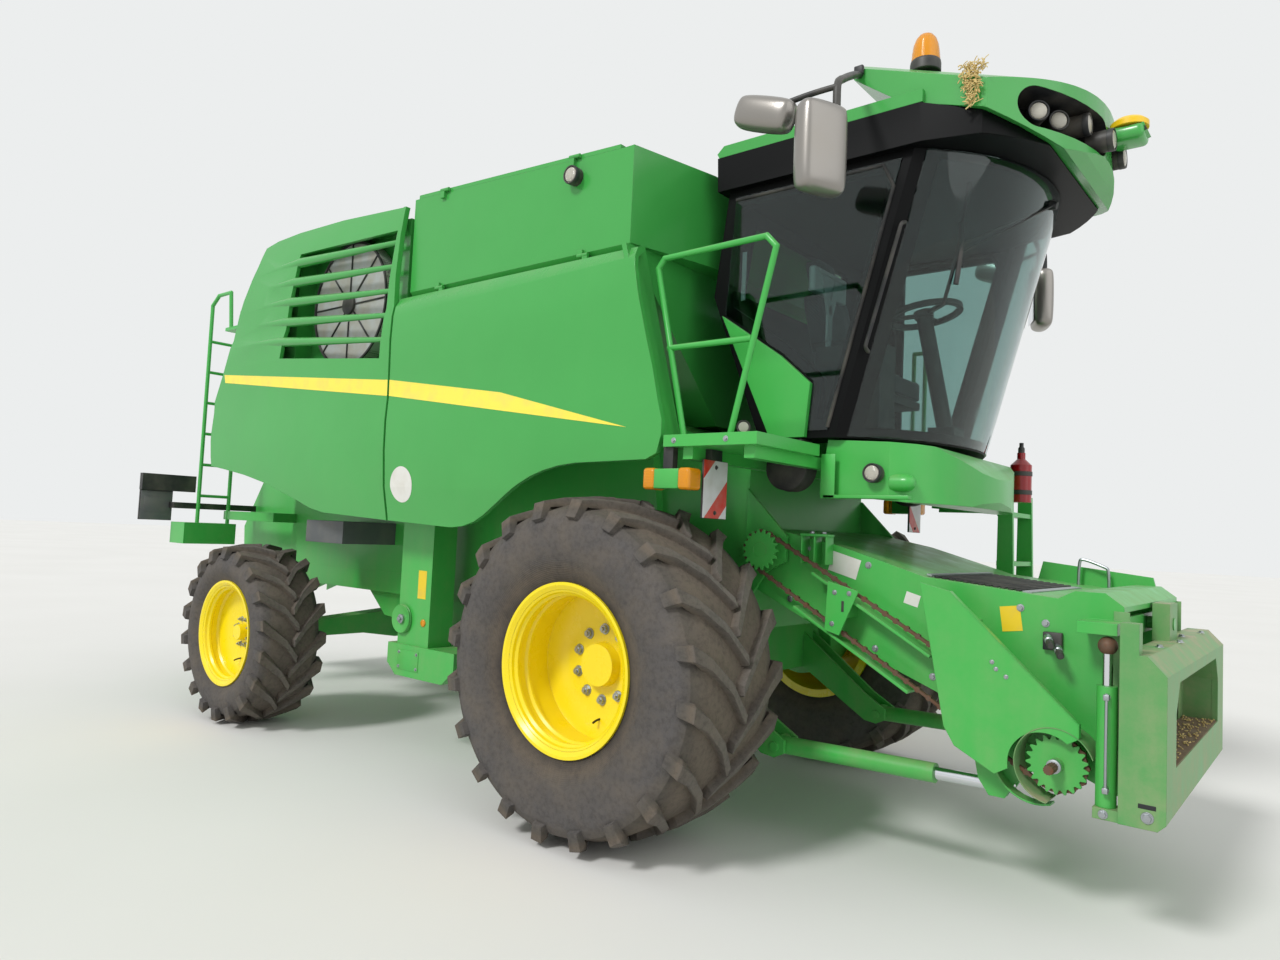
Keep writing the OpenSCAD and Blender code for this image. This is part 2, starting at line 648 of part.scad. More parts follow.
// Side opening between the posts: its front edge follows the windscreen's lean
function at_lean(z) = pillar_x + (z - cab_floor) * tan(screen_lean);
door_rear = 630;
door_low = cab_floor + 40;
door_top = cab_top - 40;
side_window = [[door_rear + 60, door_low + 60], [at_lean(door_low + 60) - 90, door_low + 60],
    [at_lean(door_top - 60) - 90, door_top - 60], [door_rear + 60, door_top - 60]];
quarter_window = [[400, 2930], [door_rear - 60, 2800], [door_rear - 60, cab_top - 100], [430, cab_top - 100]];
// On the right one pane reaches from the rear post to the windscreen's post
right_window = [[400, 2930], [750, 2685], [985, 2480], [965, door_low + 60],
    [at_lean(door_low + 60) - 90, door_low + 60],
    [at_lean(door_top - 60) - 90, door_top - 60], [430, door_top - 60]];
// Painted panel over the cab's lower rear corner
corner_panel = [[350, 2875], [735, 2615], [925, 2450], [900, cab_floor + 5], [690, cab_floor + 5]];
corner_t = 30;
door_t = 30;
door_out = cab_half + 1 + door_t;
hinge_x = door_rear - 17;
door_hinge_z = [cab_floor + 270, cab_top - 310];
door_knuckle = 60;
module cab_frame() {
    door_hole = [[door_rear + 15, door_low + 15], [at_lean(door_low) - 75, door_low + 15],
        [at_lean(door_top) - 75, door_top - 15], [door_rear + 15, door_top - 15]];
    color(dark) at_body() for (z = door_hinge_z) {
        block([hinge_x - 13, cab_half - 1, z], [hinge_x + 13, door_out, z + door_knuckle]);
        translate([hinge_x, door_out, z]) cylinder(d = 28, h = door_knuckle, $fn = 32);
    }
    color(dark) at_body() difference() {
        cab_body(0);
        cab_body(cab_wall);
        // Windscreen opening
        intersection() {
            block([900, -cab_half + 90, cab_floor + 60], [2600, cab_half - 90, cab_top - 50]);
            leaning() translate([40, -cab_half]) square([2000, cab_w]);
        }
        side_cut(-cab_half - 5, -cab_half + cab_wall + 5, right_window);
        side_cut(cab_half - cab_wall - 5, cab_half + 5, door_hole);
        side_cut(cab_half - cab_wall - 5, cab_half + 5, quarter_window);
        block([200, -600, 3050], [420, 600, cab_top - 120]);
    }
}
module cab_glass() {
    color([0.25, 0.3, 0.32, 0.5]) at_body() {
        intersection() {
            leaning() difference() {
                polygon(bow(-glass_t - fit));
                polygon(bow(-fit));
                translate([-3000, -1500]) square([3015, 3000]);
            }
            block([900, -cab_half + 40, cab_floor + 10], [2600, cab_half - 40, cab_top - 5]);
        }
        side_cut(-cab_half - glass_t - fit, -cab_half - fit, [[358, 2887], [741, 2628], [934, 2460],
            [908, door_low], [at_lean(door_low) - 50, door_low], [at_lean(door_top) - 50, door_top],
                [400, door_top]]);
        side_cut(cab_half + fit, cab_half + glass_t + fit, [[358, 2887], [door_rear - 32, 2730],
            [door_rear - 32, cab_top - 70], [395, cab_top - 70]]);
    }
}
module cab_door() {
    leaf = [[door_rear, door_low], [at_lean(door_low) - 55, door_low], [at_lean(door_top) - 55, door_top],
        [door_rear, door_top]];
    color(dark) at_body() {
        difference() {
            side_cut(cab_half + 1, door_out, leaf);
            side_cut(cab_half, door_out + 1, side_window);
        }
        for (z = door_hinge_z) translate([hinge_x, door_out, z + door_knuckle + fit]) {
            cylinder(d = 28, h = door_knuckle, $fn = 32);
            block([0, -12, 10], [24, 12, 50]);
        }
    }
}
module door_glass() {
    color([0.25, 0.3, 0.32, 0.5]) at_body() side_cut(door_out + fit, door_out + fit + glass_t,
        [[door_rear + 30, door_low + 30], [at_lean(door_low + 30) - 65, door_low + 30],
        [at_lean(door_top - 30) - 65, door_top - 30], [door_rear + 30, door_top - 30]]);
}

roof_t = 200;
roof_half = cab_half + 50;
// The visor bows forward between its corners, and a wing runs back from each corner
visor_front = 2150;
visor_corner = [1800, 860];
visor_sag = visor_front - visor_corner[0];
visor_r = (visor_corner[1] * visor_corner[1] + visor_sag * visor_sag) / (2 * visor_sag);
visor_a = asin(visor_corner[1] / visor_r);
wing_rear = 1120;
wing_half = visor_corner[1] + 20;
// Heights over the cab's top
crown_rear = 725;
crown_r = 1900;
crown_fall = 20.6;
visor_low = [[wing_rear, 430], [1390, 235], [1780, 112], [2050, -20], [2105, 5], [visor_front + 10, 70]];
function bow_front(inset) = arc(visor_front - visor_r, 0, visor_r - inset, -visor_a, visor_a, 18);
module crown() translate([wing_rear, 0, cab_top + crown_rear - crown_r / cos(crown_fall)])
    rotate([0, 90 + crown_fall, 0]) translate([0, 0, -900]) cylinder(r = crown_r, h = 2600, $fn = 180);
// Lamps in the visor: place along X, out from the middle and over the cab's top, turn outwards,
// diameter and length
visor_lamps = [[1930, 550, 155, 55, 100, 80], [1975, 375, 165, 50, 100, 80], [2040, 240, 185, 0, 110, 120],
    [2130, 130, 125, 0, 110, 120]];
recess_y = [150, 640];
recess_z = 150;
recess_r = 100;
recess_depth = 205;
recess_rear = 1450;
module lamp_recess(gap) translate([recess_rear, 0, cab_top + recess_z]) rotate([90, 0, 90])
    linear_extrude(900) {
    for (y = recess_y) translate([y, 0]) circle(r = recess_r - gap, $fn = 48);
    translate([recess_y[0], gap - recess_r]) square([recess_y[1] - recess_y[0], 2 * (recess_r - gap)]);
}
module at_lamp(lamp) translate([lamp[0], lamp[1], cab_top + lamp[2]]) rotate([0, 90, lamp[3]]) children();
module cab_roof() {
    roof_side = concat([[300, cab_top], [290, cab_top + roof_t], [1480, cab_top + roof_t]],
        [for (x = [1780, 1990]) [x, cab_top + lookup(x, visor_low) - 2]], [[1990, cab_top]]);
    plan = concat([[200, -roof_half], [1500, -roof_half]], bow_front(45),
        [[1500, roof_half], [200, roof_half]]);
    color(dark) at_body() {
        intersection() {
            side_cut(-roof_half, roof_half, roof_side);
            translate([0, 0, cab_top - 10]) linear_extrude(500) polygon(plan);
        }
        // Trays that close the recesses and the bosses that the lamps sit on
        both_sides() {
            intersection() {
                lamp_recess(1);
                translate([0, 0, cab_top - 10]) linear_extrude(500)
                    polygon(concat([[1000, -900]], bow_front(recess_depth), [[1000, 900]]));
            }
            for (lamp = visor_lamps) at_lamp(lamp)
                translate([0, 0, -lamp[5] / 2 - 150]) cylinder(d = 50, h = 150 - fit, $fn = 32);
        }
    }
}
beacon_d = 150;
beacon_at = [1390, -600, cab_top + 505];
bracket_half = 60;
receiver_d = 180;
receiver_at = [2240, 0, cab_top + 215];
module roof_visor() {
    rim_low = cab_top + roof_t + fit;
    color(paint) at_body() difference() {
        union() {
            intersection() {
                translate([0, 0, cab_top - 100]) linear_extrude(1000)
                    polygon(concat([[wing_rear, -wing_half]], bow_front(0), [[wing_rear, wing_half]]));
                side_cut(-wing_half, wing_half, concat([for (row = visor_low) [row[0], cab_top + row[1]]],
                    [[visor_front + 10, cab_top + 900], [wing_rear, cab_top + 900]]));
                crown();
            }
            // Housing under the visor, and the roof's painted rim
            intersection() {
                block([wing_rear, -520, rim_low], [1500, 520, cab_top + 900]);
                crown();
            }
            side_cut(-roof_half, roof_half, [[300, rim_low], [285, rim_low + 25], [330, rim_low + 65],
                [1500, rim_low + 65], [1500, rim_low]]);
            // Bracket of the receiver
            side_cut(-bracket_half, bracket_half, [[2050, receiver_at[2] - 60], [2050, receiver_at[2] - fit],
                [receiver_at[0] + 75, receiver_at[2] - fit], [receiver_at[0] + 90, receiver_at[2] - 40],
                [receiver_at[0], receiver_at[2] - 75]]);
        }
        both_sides() lamp_recess(0);
        translate(beacon_at) cylinder(d = beacon_d + 4, h = 200, $fn = 48);
        side_cut(-roof_half - 1, roof_half + 1, [[1495, rim_low], [1495, rim_low - 40],
            [1400, rim_low - 40], [1400, rim_low]]);
    }
}
module receiver_dome() {
    color("#f0c419") at_body() translate(receiver_at) rotate_extrude($fn = 64)
        polygon([[0, 0], [receiver_d / 2, 0], [receiver_d / 2, 28], [receiver_d / 2 - 20, 46], [0, 54]]);
}
// Round lamps on the tank's sides and beside the console
tank_lamp = [-350, 3660];
console_lamp = [1270, 1975];
module work_lamps() {
    color("#d8d8d0") at_body() both_sides() {
        for (lamp = visor_lamps) at_lamp(lamp)
            translate([0, 0, -lamp[5] / 2]) cylinder(d = lamp[4], h = lamp[5], $fn = 40);
        cross_bar(console_lamp[0], console_lamp[1], console_half + fit, console_half + 45, 95);
    }
    color("#d8d8d0") at_body()
        cross_bar(tank_lamp[0], tank_lamp[1], -tank_half - 50, -tank_half - fit, 105);
}
module beacon() {
    color("#f08a1c") at_body() translate(beacon_at + [0, 0, fit]) {
        cylinder(d = beacon_d, h = 60, $fn = 48);
        cylinder(d = 130, h = 150, $fn = 48);
        translate([0, 0, 150]) sphere(d = 130, $fn = 48);
    }
}

module seat() {
    color(dark) at_body() {
        block([700, -170, cab_floor + cab_wall + fit], [1000, 170, cab_floor + 330]);
        block([600, -260, cab_floor + 330], [1120, 260, cab_floor + 460]);
        side_cut(-250, 250, [[570, cab_floor + 430], [690, cab_floor + 430], [590, cab_floor + 1080],
            [470, cab_floor + 1060]]);
    }
}
module cab_controls() {
    deck = cab_floor + cab_wall + fit;
    color(dark) at_body() {
        block([760, -520, deck], [1150, -320, cab_floor + 560]);
        block([1250, -80, deck], [1400, 80, deck + 90]);
        bar([1325, 0, deck + 60], [1180, 0, cab_floor + 800], 90);
        translate([1180, 0, cab_floor + 800]) rotate([0, -11, 0]) {
            difference() {
                cylinder(d = 440, h = 30, $fn = 64);
                translate([0, 0, -1]) cylinder(d = 380, h = 32, $fn = 64);
            }
            translate([0, 0, -4]) cylinder(d = 110, h = 40, $fn = 48);
            for (a = [90, 210, 330]) rotate([0, 0, a]) translate([0, -15, 5]) cube([200, 30, 18]);
        }
    }
}

console_half = 800;
module nose_console() {
    nose = [[960, 1870], [1400, 1835], [1600, 1835], [1640, 1875], [1635, 2000], [1570, 2075], [1500, 2125],
        [1000, cab_floor - 5]];
    plan = [[960, -console_half], [1340, -console_half], [1450, -720], [1560, -500], [1620, -250], [1640, 0],
        [1620, 250], [1560, 500], [1450, 720], [1340, console_half], [960, console_half]];
    color(paint) at_body() {
        difference() {
            intersection() {
                side_cut(-console_half, console_half, nose);
                translate([0, 0, 1800]) linear_extrude(400) polygon(plan);
            }
            block([950, 1 - console_half + corner_t, 1800], [1380, console_half - corner_t - 1, 2090]);
            block([950, -650, 2000], [1000 + fit, 650, cab_floor]);
        }
        side_cut(-cab_half - corner_t, -cab_half - fit, corner_panel);
        intersection() {
            side_cut(cab_half + fit, cab_half + corner_t, corner_panel);
            block([0, cab_half, cab_floor], [door_rear - 45, cab_half + 100, 3000]);
        }
    }
}

// Platforms beside the cab, with their rails
deck_z = 2120;
deck_t = 60;
// The decks start clear of the side panels' front edges
deck_rear = 450;
deck_front = 1250;
ladder_hinge = [deck_front + 40, 1600];
ladder_top = 1990;
module platforms() {
    rail_d = 32;
    color(paint) at_body() {
        // Beams that carry the cab on the housing
        for (y = [-620, 540]) block([rail_front, y, 2060], [1000, y + 80, cab_floor]);
        for (x = [540, 900]) block([x, -1450, deck_z - deck_t - 60], [x + 60, 1600, deck_z - deck_t]);
        block([deck_rear, -1500, deck_z - deck_t], [1000, -890, deck_z]);
        block([deck_rear, 890, deck_z - deck_t], [deck_front, 1620, deck_z]);
        rail([[deck_rear + 20, -1350, deck_z - 10], [250, -1350, 3040], [290, -1350, 3090],
            [920, -1350, 3100],
            [975, -1350, 3040], [745, -1350, deck_z - 10]], rail_d);
        rail([[340, -1350, 2600], [855, -1350, 2600]], rail_d);
        translate([ladder_hinge[0], ladder_hinge[1], ladder_top + 10])
            cylinder(d = 44, h = deck_z - ladder_top - 10, $fn = 32);
        block([deck_front - 20, ladder_hinge[1] - 20, ladder_top + 20],
            [ladder_hinge[0], ladder_hinge[1] + 18, deck_z]);
        rail([[480, 1590, deck_z - 10], [480, 1590, 3100], [570, 1590, 3100], [570, 1590, deck_z - 10]],
            rail_d);
    }
}
module cab_ladder() {
    steps = 5;
    pitch = 330;
    inner = 1120;
    color(paint) at_body() {
        rear = ladder_hinge[0] - 20;
        for (y = [inner, ladder_hinge[1] - 40]) side_cut(y, y + 30, [[rear, 480], [rear + 140, 480],
            [rear + 100, ladder_top], [rear + 10, ladder_top]]);
        for (i = [0 : steps - 1]) block([rear + 5, inner, 520 + i * pitch],
            [rear + 130 - i * 8, ladder_hinge[1] - 15, 550 + i * pitch]);
        translate([ladder_hinge[0], ladder_hinge[1], 480])
            cylinder(d = 44, h = ladder_top + 10 - fit - 480, $fn = 32);
    }
}

// Fire extinguisher on the front of the left platform
bottle_d = 130;
bottle = [deck_front + 220, 950, 1925];
module extinguisher() {
    color("#a3161c") at_body() {
        translate(bottle) cylinder(d = bottle_d, h = 240, $fn = 48);
        translate(bottle + [0, 0, 240]) cylinder(d1 = bottle_d, d2 = 50, h = 40, $fn = 48);
        translate(bottle + [0, 0, 280]) cylinder(d = 50, h = 40, $fn = 32);
        // Bracket on the deck's front edge
        block([deck_front + fit, bottle[1] - 25, deck_z - deck_t + 5],
            [bottle[0] - 30, bottle[1] + 25, deck_z - 10]);
    }
}

// The left mirrors are set further forward than the right ones
mirror_x = 1285;
left_forward = 140;
module mirror_set(forward) {
    foot = wing_half + fit;
    head_x = mirror_x + forward;
    elbow = [head_x + 5, 1390, 3850];
    block([wing_rear + 10, foot, cab_top + 440], [wing_rear + 60, foot + 22, cab_top + 485]);
    rail([[wing_rear + 35, foot + 10, cab_top + 462], elbow, [head_x + 45, 1500, 3740],
        [head_x + 15, 1520, 3560]], 34);
    rail([elbow + [5, 30, -35], [head_x - 285, 1500, 3680]], 28);
    hull() for (y = [1455, 1605]) translate([head_x, y, 3190]) {
        cylinder(d = 70, h = 410, $fn = 24);
        translate([0, 0, 40]) cylinder(d = 100, h = 330, $fn = 24);
    }
    hull() for (x = [head_x - 395, head_x - 225]) translate([x, 1510, 3590]) {
        cylinder(d = 60, h = 100, $fn = 24);
        translate([0, 0, 20]) cylinder(d = 130, h = 55, $fn = 24);
    }
}
module mirrors() {
    color(dark) at_body() {
        mirror_set(left_forward);
        mirror([0, 1, 0]) mirror_set(0);
    }
}

// Elevators, boxes and rear equipment
module grain_elevators() {
    color(paint) at_body() {
        both_sides() {
            block([-2140, 960, 700], [-1790, 1160, 2290]);
            block([-2140, house_half + rail_w, 1900], [-1790, 960, 2250]);
            side_cut(900, 1180, [[-2220, 760], [-2220, 620], [-2120, 540], [-1600, 540], [-1480, 640],
                [-1480, 760]]);
        }
        block([-2050, -900, 560], [-1650, 900, 760]);
    }
}
module side_boxes() {
    color("#6a6c6e") at_body() both_sides() {
        block([-3300, house_half + rail_w, 1430], [-2780, 1250, 1600]);
    }
}
module straw_chopper() {
    color(paint) at_body() {
        side_cut(-house_half + 20, house_half - 20, [[-4470, 1900], [-4470, 1280], [-4700, 1080],
            [-5150, 1000], [-5380, 1150], [-5420, 1500], [-5050, 2000], [-4470, 2200]]);
        side_cut(-600, 600, [[-5380, 1150], [rear_x, 900], [rear_x, 930], [-5380, 1200]]);
        for (i = [-3 : 3]) side_cut(i * 180 - 5, i * 180 + 5,
            [[-5380, 1150], [-5300, 1000], [rear_x, 800], [rear_x, 920]]);
    }
}
module rear_ladder() {
    x = -5180;
    rail_d = 34;
    near = -1270;
    far = -990;
    color(paint) at_body() {
        for (y = [near, far]) rail([[x, y, 1340], [x, y, 3560], [x + 120, y, 3640], [x + 350, y, 3640],
            [x + 400, y, 3300]], rail_d);
        for (i = [0 : 6]) bar([x, near, 1480 + 290 * i], [x, far, 1480 + 290 * i], 28);
        block([x - 120, -1450, 1330], [x + 160, -980, 1520]);
        block([x - 60, -1000, 1560], [-4300, -900, 1640]);
        block([-4340, -1000, 1560], [-4300, -house_half - rail_w - fit, 1640]);
        block([-4860, near - 15, 3280], [-4145 - fit, far + 15, 3310]);
    }
}
module light_boards() {
    x = -5300;
    color(dark) at_body() both_sides() {
        block([x - 60, 1250, 1800], [x, 1720, 1950]);
        block([x - 50, 1440, 1530], [x - 30, 1720, 1801]);
        block([x + 30, house_half - 20 + fit, 1645], [x + 85, 1470, 1700]);
        block([x - 50, 1440, 1645], [x + 85, 1470, 1700]);
    }
}
module front_signs() {
    color("#d8d8d8") at_body() both_sides() {
        block([625, 1190, 1710], [635, 1400, 2005]);
        block([600, 1240, 2000], [635, 1340, 2060]);
        block([380, 1420, 1860], [560, 1500, 1940]);
        block([440, 1440, 1930], [500, 1480, 2060]);
    }
}

// Feeder house, drawn at its photographed height
feeder_half = feeder_w / 2;
feeder_pivot = [620, 1560];
// Upper and lower lines of the side sheets, from the shaft forward
feeder_top = [[620, 1680], [1000, 1610], [1500, 1470], [2110, 1417], [2180, 1455], [2300, 1455],
    [2375, 1400]];
feeder_low = [[530, 1340], [950, 1150], [1600, 910], [2350, 600], [2375, 600]];
// Height of the lower line, and the ends of the lift cylinders' ears
function low_at(x) = lookup(x, feeder_low);
ear_x = [1720, 2080];
// A sheet that follows a line, t thick towards side s
function sheet_on(line, t, s) = concat(line, [for (i = [len(line) - 1 : -1 : 0]) line[i] + [0, s * t]]);
module feeder_house() {
    inside = feeder_half - feeder_t;
    color(paint) at_body() {
        side_cut(-inside, inside, sheet_on(feeder_top, 2 * feeder_t, -1));
        side_cut(-inside, inside, sheet_on(feeder_low, 2 * feeder_t, 1));
        cross_bar(feeder_pivot[0], feeder_pivot[1], -feeder_half - 120, feeder_half + 60, feeder_shaft_d);
    }
}
module feeder_sides() {
    outline = concat(arc(feeder_pivot[0], feeder_pivot[1], 120, 90, 200, 8), feeder_low,
        [for (i = [len(feeder_top) - 1 : -1 : 1]) feeder_top[i]]);
    color(paint) at_body() {
        both_sides() {
            difference() {
                side_cut(feeder_half - feeder_t, feeder_half, outline);
                cross_bar(feeder_pivot[0], feeder_pivot[1], 0, feeder_half + 1, feeder_shaft_d + 2 * fit);
            }
            // Ears for the lift cylinders, on a plate under the floor
            side_cut(lift_y - rod_eye_w / 2 - 1.5 * ear_t, feeder_half,
                concat([for (x = ear_x) [x, low_at(x) - fit]],
                    [for (i = [1, 0]) [ear_x[i], low_at(ear_x[i]) - 20]]));
            for (s = [-1, 1]) side_cut(lift_y + s * (rod_eye_w / 2 + ear_t) - ear_t / 2,
                lift_y + s * (rod_eye_w / 2 + ear_t) + ear_t / 2,
                [[ear_x[0], low_at(ear_x[0]) + s * 12 - 3], [1780, 560], [1830, 490], [1900, 490],
                    [1940, 560], [ear_x[1], low_at(ear_x[1]) + s * 12 - 3]]);
        }
        // Stone trap's cover plate on the left
        side_cut(feeder_half + fit, feeder_half + 20,
            [[1640, 1400], [1680, 1560], [2260, 1500], [2290, 1380]]);
        // Pin that the header frame tilts on
        block([2330, -feeder_half + feeder_t - 1, tilt_z - 45],
            [2350, feeder_half - feeder_t + 1, tilt_z + 45]);
        translate([2340, 0, tilt_z]) rotate([0, 90, 0]) cylinder(d = tilt_pin_d, h = 125, $fn = 48);
        // Arm for the tilt cylinder
        block([2230, -feeder_half - 190, 1290], [adapter_rear - 15, -feeder_half + 1, 1340]);
    }
}
// Chain drive down the right side: the top shaft turns the shaft that the header takes its drive from
drive_low = [2145, 710];
sprocket_r = [100, 115];
sprocket_teeth = [18, 21];
tooth_h = 12;
chain_in = feeder_half + 90;
chain_w = 20;
shield_r = 190;
// The shield lies against the lift cylinder's outer ear
shield_in = lift_y + rod_eye_w / 2 + 1.5 * ear_t + fit;
link = 64;
roller_d = 30;
drive_run = norm(drive_low - feeder_pivot);
drive_a = atan2(drive_low[1] - feeder_pivot[1], drive_low[0] - feeder_pivot[0]);
// Drawn along the drive, with the top shaft at the origin, and drawn out from y to the right
module along_drive(y, w) translate([feeder_pivot[0], -y, feeder_pivot[1]]) rotate([90, 0, 0])
    linear_extrude(w) rotate(drive_a) children();
module loop_2d(h) polygon(concat(arc(0, 0, sprocket_r[0] + h, 90, 270, 10),
    arc(drive_run, 0, sprocket_r[1] + h, -90, 90, 10)));
// Share of a tooth's pitch, and 1 at its tip
tooth = [[0, 0], [0.3, 1], [0.5, 1], [0.8, 0]];
module sprocket_2d(r, teeth) polygon([for (i = [0 : teeth - 1]) for (t = tooth)
    let (a = 360 * (i + t[0]) / teeth) (r - 8 + t[1] * (tooth_h + 8)) * [cos(a), sin(a)]]);
module drive_chain() {
    color("#6b4a30") at_body() along_drive(chain_in, chain_w) {
        difference() {
            loop_2d(7);
            loop_2d(-7);
        }
        for (i = [0 : drive_run / link]) for (s = [-1, 1])
            translate([i * link, s * lookup(i * link, [[0, sprocket_r[0]], [drive_run, sprocket_r[1]]])])
                circle(d = roller_d, $fn = 6);
        for (a = [125 : 36.7 : 240]) rotate(a) translate([sprocket_r[0], 0]) circle(d = roller_d, $fn = 6);
        for (a = [-60 : 30 : 60]) translate([drive_run, 0]) rotate(a) translate([sprocket_r[1], 0])
            circle(d = roller_d, $fn = 6);
    }
}
module feeder_drive() {
    plate_out = feeder_half + 160;
    plate = [[1540, 1450], [1670, 800], [1720, 720], [1900, 630], [2240, 840], [2240, 900], [1680, 1420]];
    ends = [[0, 0], [drive_run, 0]];
    color(paint) at_body() {
        // Sprockets, each with a drum that the chain lies on
        difference() {
            for (i = [0, 1]) {
                along_drive(chain_in + chain_w + fit, 10) translate(ends[i])
                    sprocket_2d(sprocket_r[i], sprocket_teeth[i]);
                along_drive(chain_in - 5, chain_w + 8) translate(ends[i])
                    circle(r = sprocket_r[i] - 15 - fit, $fn = 64);
            }
            along_drive(0, 2000) circle(d = feeder_shaft_d + 2 * fit, $fn = 48);
        }
        cross_bar(drive_low[0], drive_low[1], -feeder_half - 150, -feeder_half, 60);
        // Guard over the lower half, cut round the lower sprocket, on two brackets
        difference() {
            side_cut(-plate_out - 10, -plate_out, plate);
            cross_bar(drive_low[0] - 40, drive_low[1] - 15, -plate_out - 11, -plate_out + 1, 300);
        }
        for (z = [900, 1250]) block([1720, -plate_out, z], [1780, -feeder_half, z + 40]);
        // Curved shield under the lower sprocket
        translate([drive_low[0] - 95, -shield_in, drive_low[1] - 10]) rotate([90, 0, 0])
            linear_extrude(chain_in - shield_in - 8)
                polygon(concat(arc(0, 0, shield_r, 150, 290, 14), arc(0, 0, shield_r - 8, 290, 150, 14)));
        // Plate that holds the tensioner, and the rails beside the two strands
        side_cut(-feeder_half - 140, -feeder_half - 130,
            [[1045, 1420], [1215, 1380], [1115, 1150], [1035, 1170]]);
        block([1090, -feeder_half - 131, 1240], [1150, -feeder_half, 1320]);
        along_drive(feeder_half, 118) {
            translate([330, 56]) square([730, 14]);
            translate([330, -155]) square([730, 14]);
        }
    }
}

tilt_at = [2345, -860];
tilt_z = 1300;
tilt_pin_d = 60;
adapter_rear = 2400;
module adapter_frame() {
    half = adapter_w / 2;
    color(paint) at_body() {
        difference() {
            side_cut(-half, half, [[adapter_rear, 545], [front_x - 30, 545], [front_x, 575], [front_x, 1150],
                [front_x - 70, 1224], [adapter_rear, 1224]]);
            block([adapter_rear - 1, -half + 60, 640], [front_x - 30, half - 60, 1160]);
            cross_cut(adapter_rear - 1, front_x + 1, [[-690, 760], [690, 760], [690, 980], [600, 1100],
                [-600, 1100], [-690, 980]]);
        }
        block([adapter_rear, -half, 1224], [adapter_rear + 70, -half + 70, 1350]);
        block([tilt_at[0] - 40, tilt_at[1] - 50, 545], [adapter_rear, tilt_at[1] + 50, 590]);
        difference() {
            block([adapter_rear - 14, -110, 1160], [adapter_rear + 60, 110, tilt_z + 100]);
            translate([adapter_rear - 20, 0, tilt_z]) rotate([0, 90, 0])
                cylinder(d = tilt_pin_d + 2 * fit, h = 90, $fn = 48);
        }
    }
}
module tilt_barrel() {
    color(paint) at_body() difference() {
        translate([tilt_at[0], tilt_at[1], 590]) cylinder(d = 80, h = 490, $fn = 48);
        translate([tilt_at[0], tilt_at[1], 640]) cylinder(d = 40 + 2 * fit, h = 500, $fn = 48);
    }
}
module tilt_rod() {
    color(steel) at_body() {
        translate([tilt_at[0], tilt_at[1], 760]) cylinder(d = 40, h = 460, $fn = 48);
        translate([tilt_at[0], tilt_at[1], 1245]) sphere(d = 76, $fn = 48);
    }
}

lift_end = [1880, 530];
lift_vec = lift_end - lift_base;
lift_len = norm(lift_vec);
lift_a = atan2(lift_vec[1], lift_vec[0]);
module along_lift() translate([lift_base[0], lift_y, lift_base[1]]) rotate([0, 90 - lift_a, 0]) children();
module lift_barrels() {
    color(paint) at_body() both_sides() along_lift() difference() {
        union() {
            translate([0, 0, 30]) cylinder(d = lift_d, h = 830, $fn = 48);
            rotate([90, 0, 0]) translate([0, 0, -lift_eye_w / 2])
                cylinder(d = lift_d + 5, h = lift_eye_w, $fn = 48);
        }
        translate([0, 0, 70]) cylinder(d = lift_rod_d + 2 * fit, h = 900, $fn = 48);
        rotate([90, 0, 0]) translate([0, 0, -lift_eye_w])
            cylinder(d = lift_pin_d + 2 * fit, h = 2 * lift_eye_w, $fn = 48);
    }
}
module lift_rods() {
    color(steel) at_body() both_sides() along_lift() {
        translate([0, 0, 270]) cylinder(d = lift_rod_d, h = lift_len - 300, $fn = 48);
        translate([0, 0, lift_len]) rotate([90, 0, 0]) translate([0, 0, -rod_eye_w / 2])
            cylinder(d = 85, h = rod_eye_w, $fn = 48);
    }
}

chassis();
front_axle();
rear_axle();
separator_housing();
rear_hood();
engine();
grain_tank();
auger_turret();
cab_frame();
cab_roof();
roof_visor();
cab_glass();
seat();
cab_controls();
nose_console();
platforms();
mirrors();
work_lamps();
beacon();
grain_elevators();
rear_ladder();
light_boards();
straw_chopper();
side_boxes();
front_signs();
feeder_house();
feeder_sides();
feeder_drive();
adapter_frame();
tilt_barrel();
tilt_rod();
lift_barrels();
lift_rods();
tyre_front_left();
rim_front_left();
tyre_front_right();
rim_front_right();
knuckle_left();
knuckle_right();
tyre_rear_left();
rim_rear_left();
tyre_rear_right();
rim_rear_right();
cab_door();
door_glass();
panel_front_left();
panel_front_right();
panel_rear_left();
panel_rear_right();
unloading_auger();
tank_lid_left();
tank_lid_right();
cab_ladder();
rotary_screen();
extinguisher();
receiver_dome();
drive_chain();
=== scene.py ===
"""Combine harvester: finishes, small pieces, floor, lights and camera."""
import math
import random

import bmesh
import bpy
from mathutils import Matrix, Vector


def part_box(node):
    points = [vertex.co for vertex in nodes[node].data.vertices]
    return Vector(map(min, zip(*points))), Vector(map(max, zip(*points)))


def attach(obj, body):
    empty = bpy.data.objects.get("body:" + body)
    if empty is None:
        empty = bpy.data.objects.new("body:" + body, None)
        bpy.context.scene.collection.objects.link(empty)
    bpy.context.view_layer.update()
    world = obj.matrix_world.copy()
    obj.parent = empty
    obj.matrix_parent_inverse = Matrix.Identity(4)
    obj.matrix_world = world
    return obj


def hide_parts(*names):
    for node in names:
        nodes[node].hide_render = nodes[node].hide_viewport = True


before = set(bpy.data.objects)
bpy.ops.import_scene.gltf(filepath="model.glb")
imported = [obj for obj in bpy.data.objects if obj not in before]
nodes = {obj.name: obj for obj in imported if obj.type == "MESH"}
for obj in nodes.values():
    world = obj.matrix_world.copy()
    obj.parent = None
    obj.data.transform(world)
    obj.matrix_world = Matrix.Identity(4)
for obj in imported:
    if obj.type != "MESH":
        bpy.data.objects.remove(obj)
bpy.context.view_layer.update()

# Metres. The front axle lies this far ahead of the model's middle.
AXLE_X = 1.665
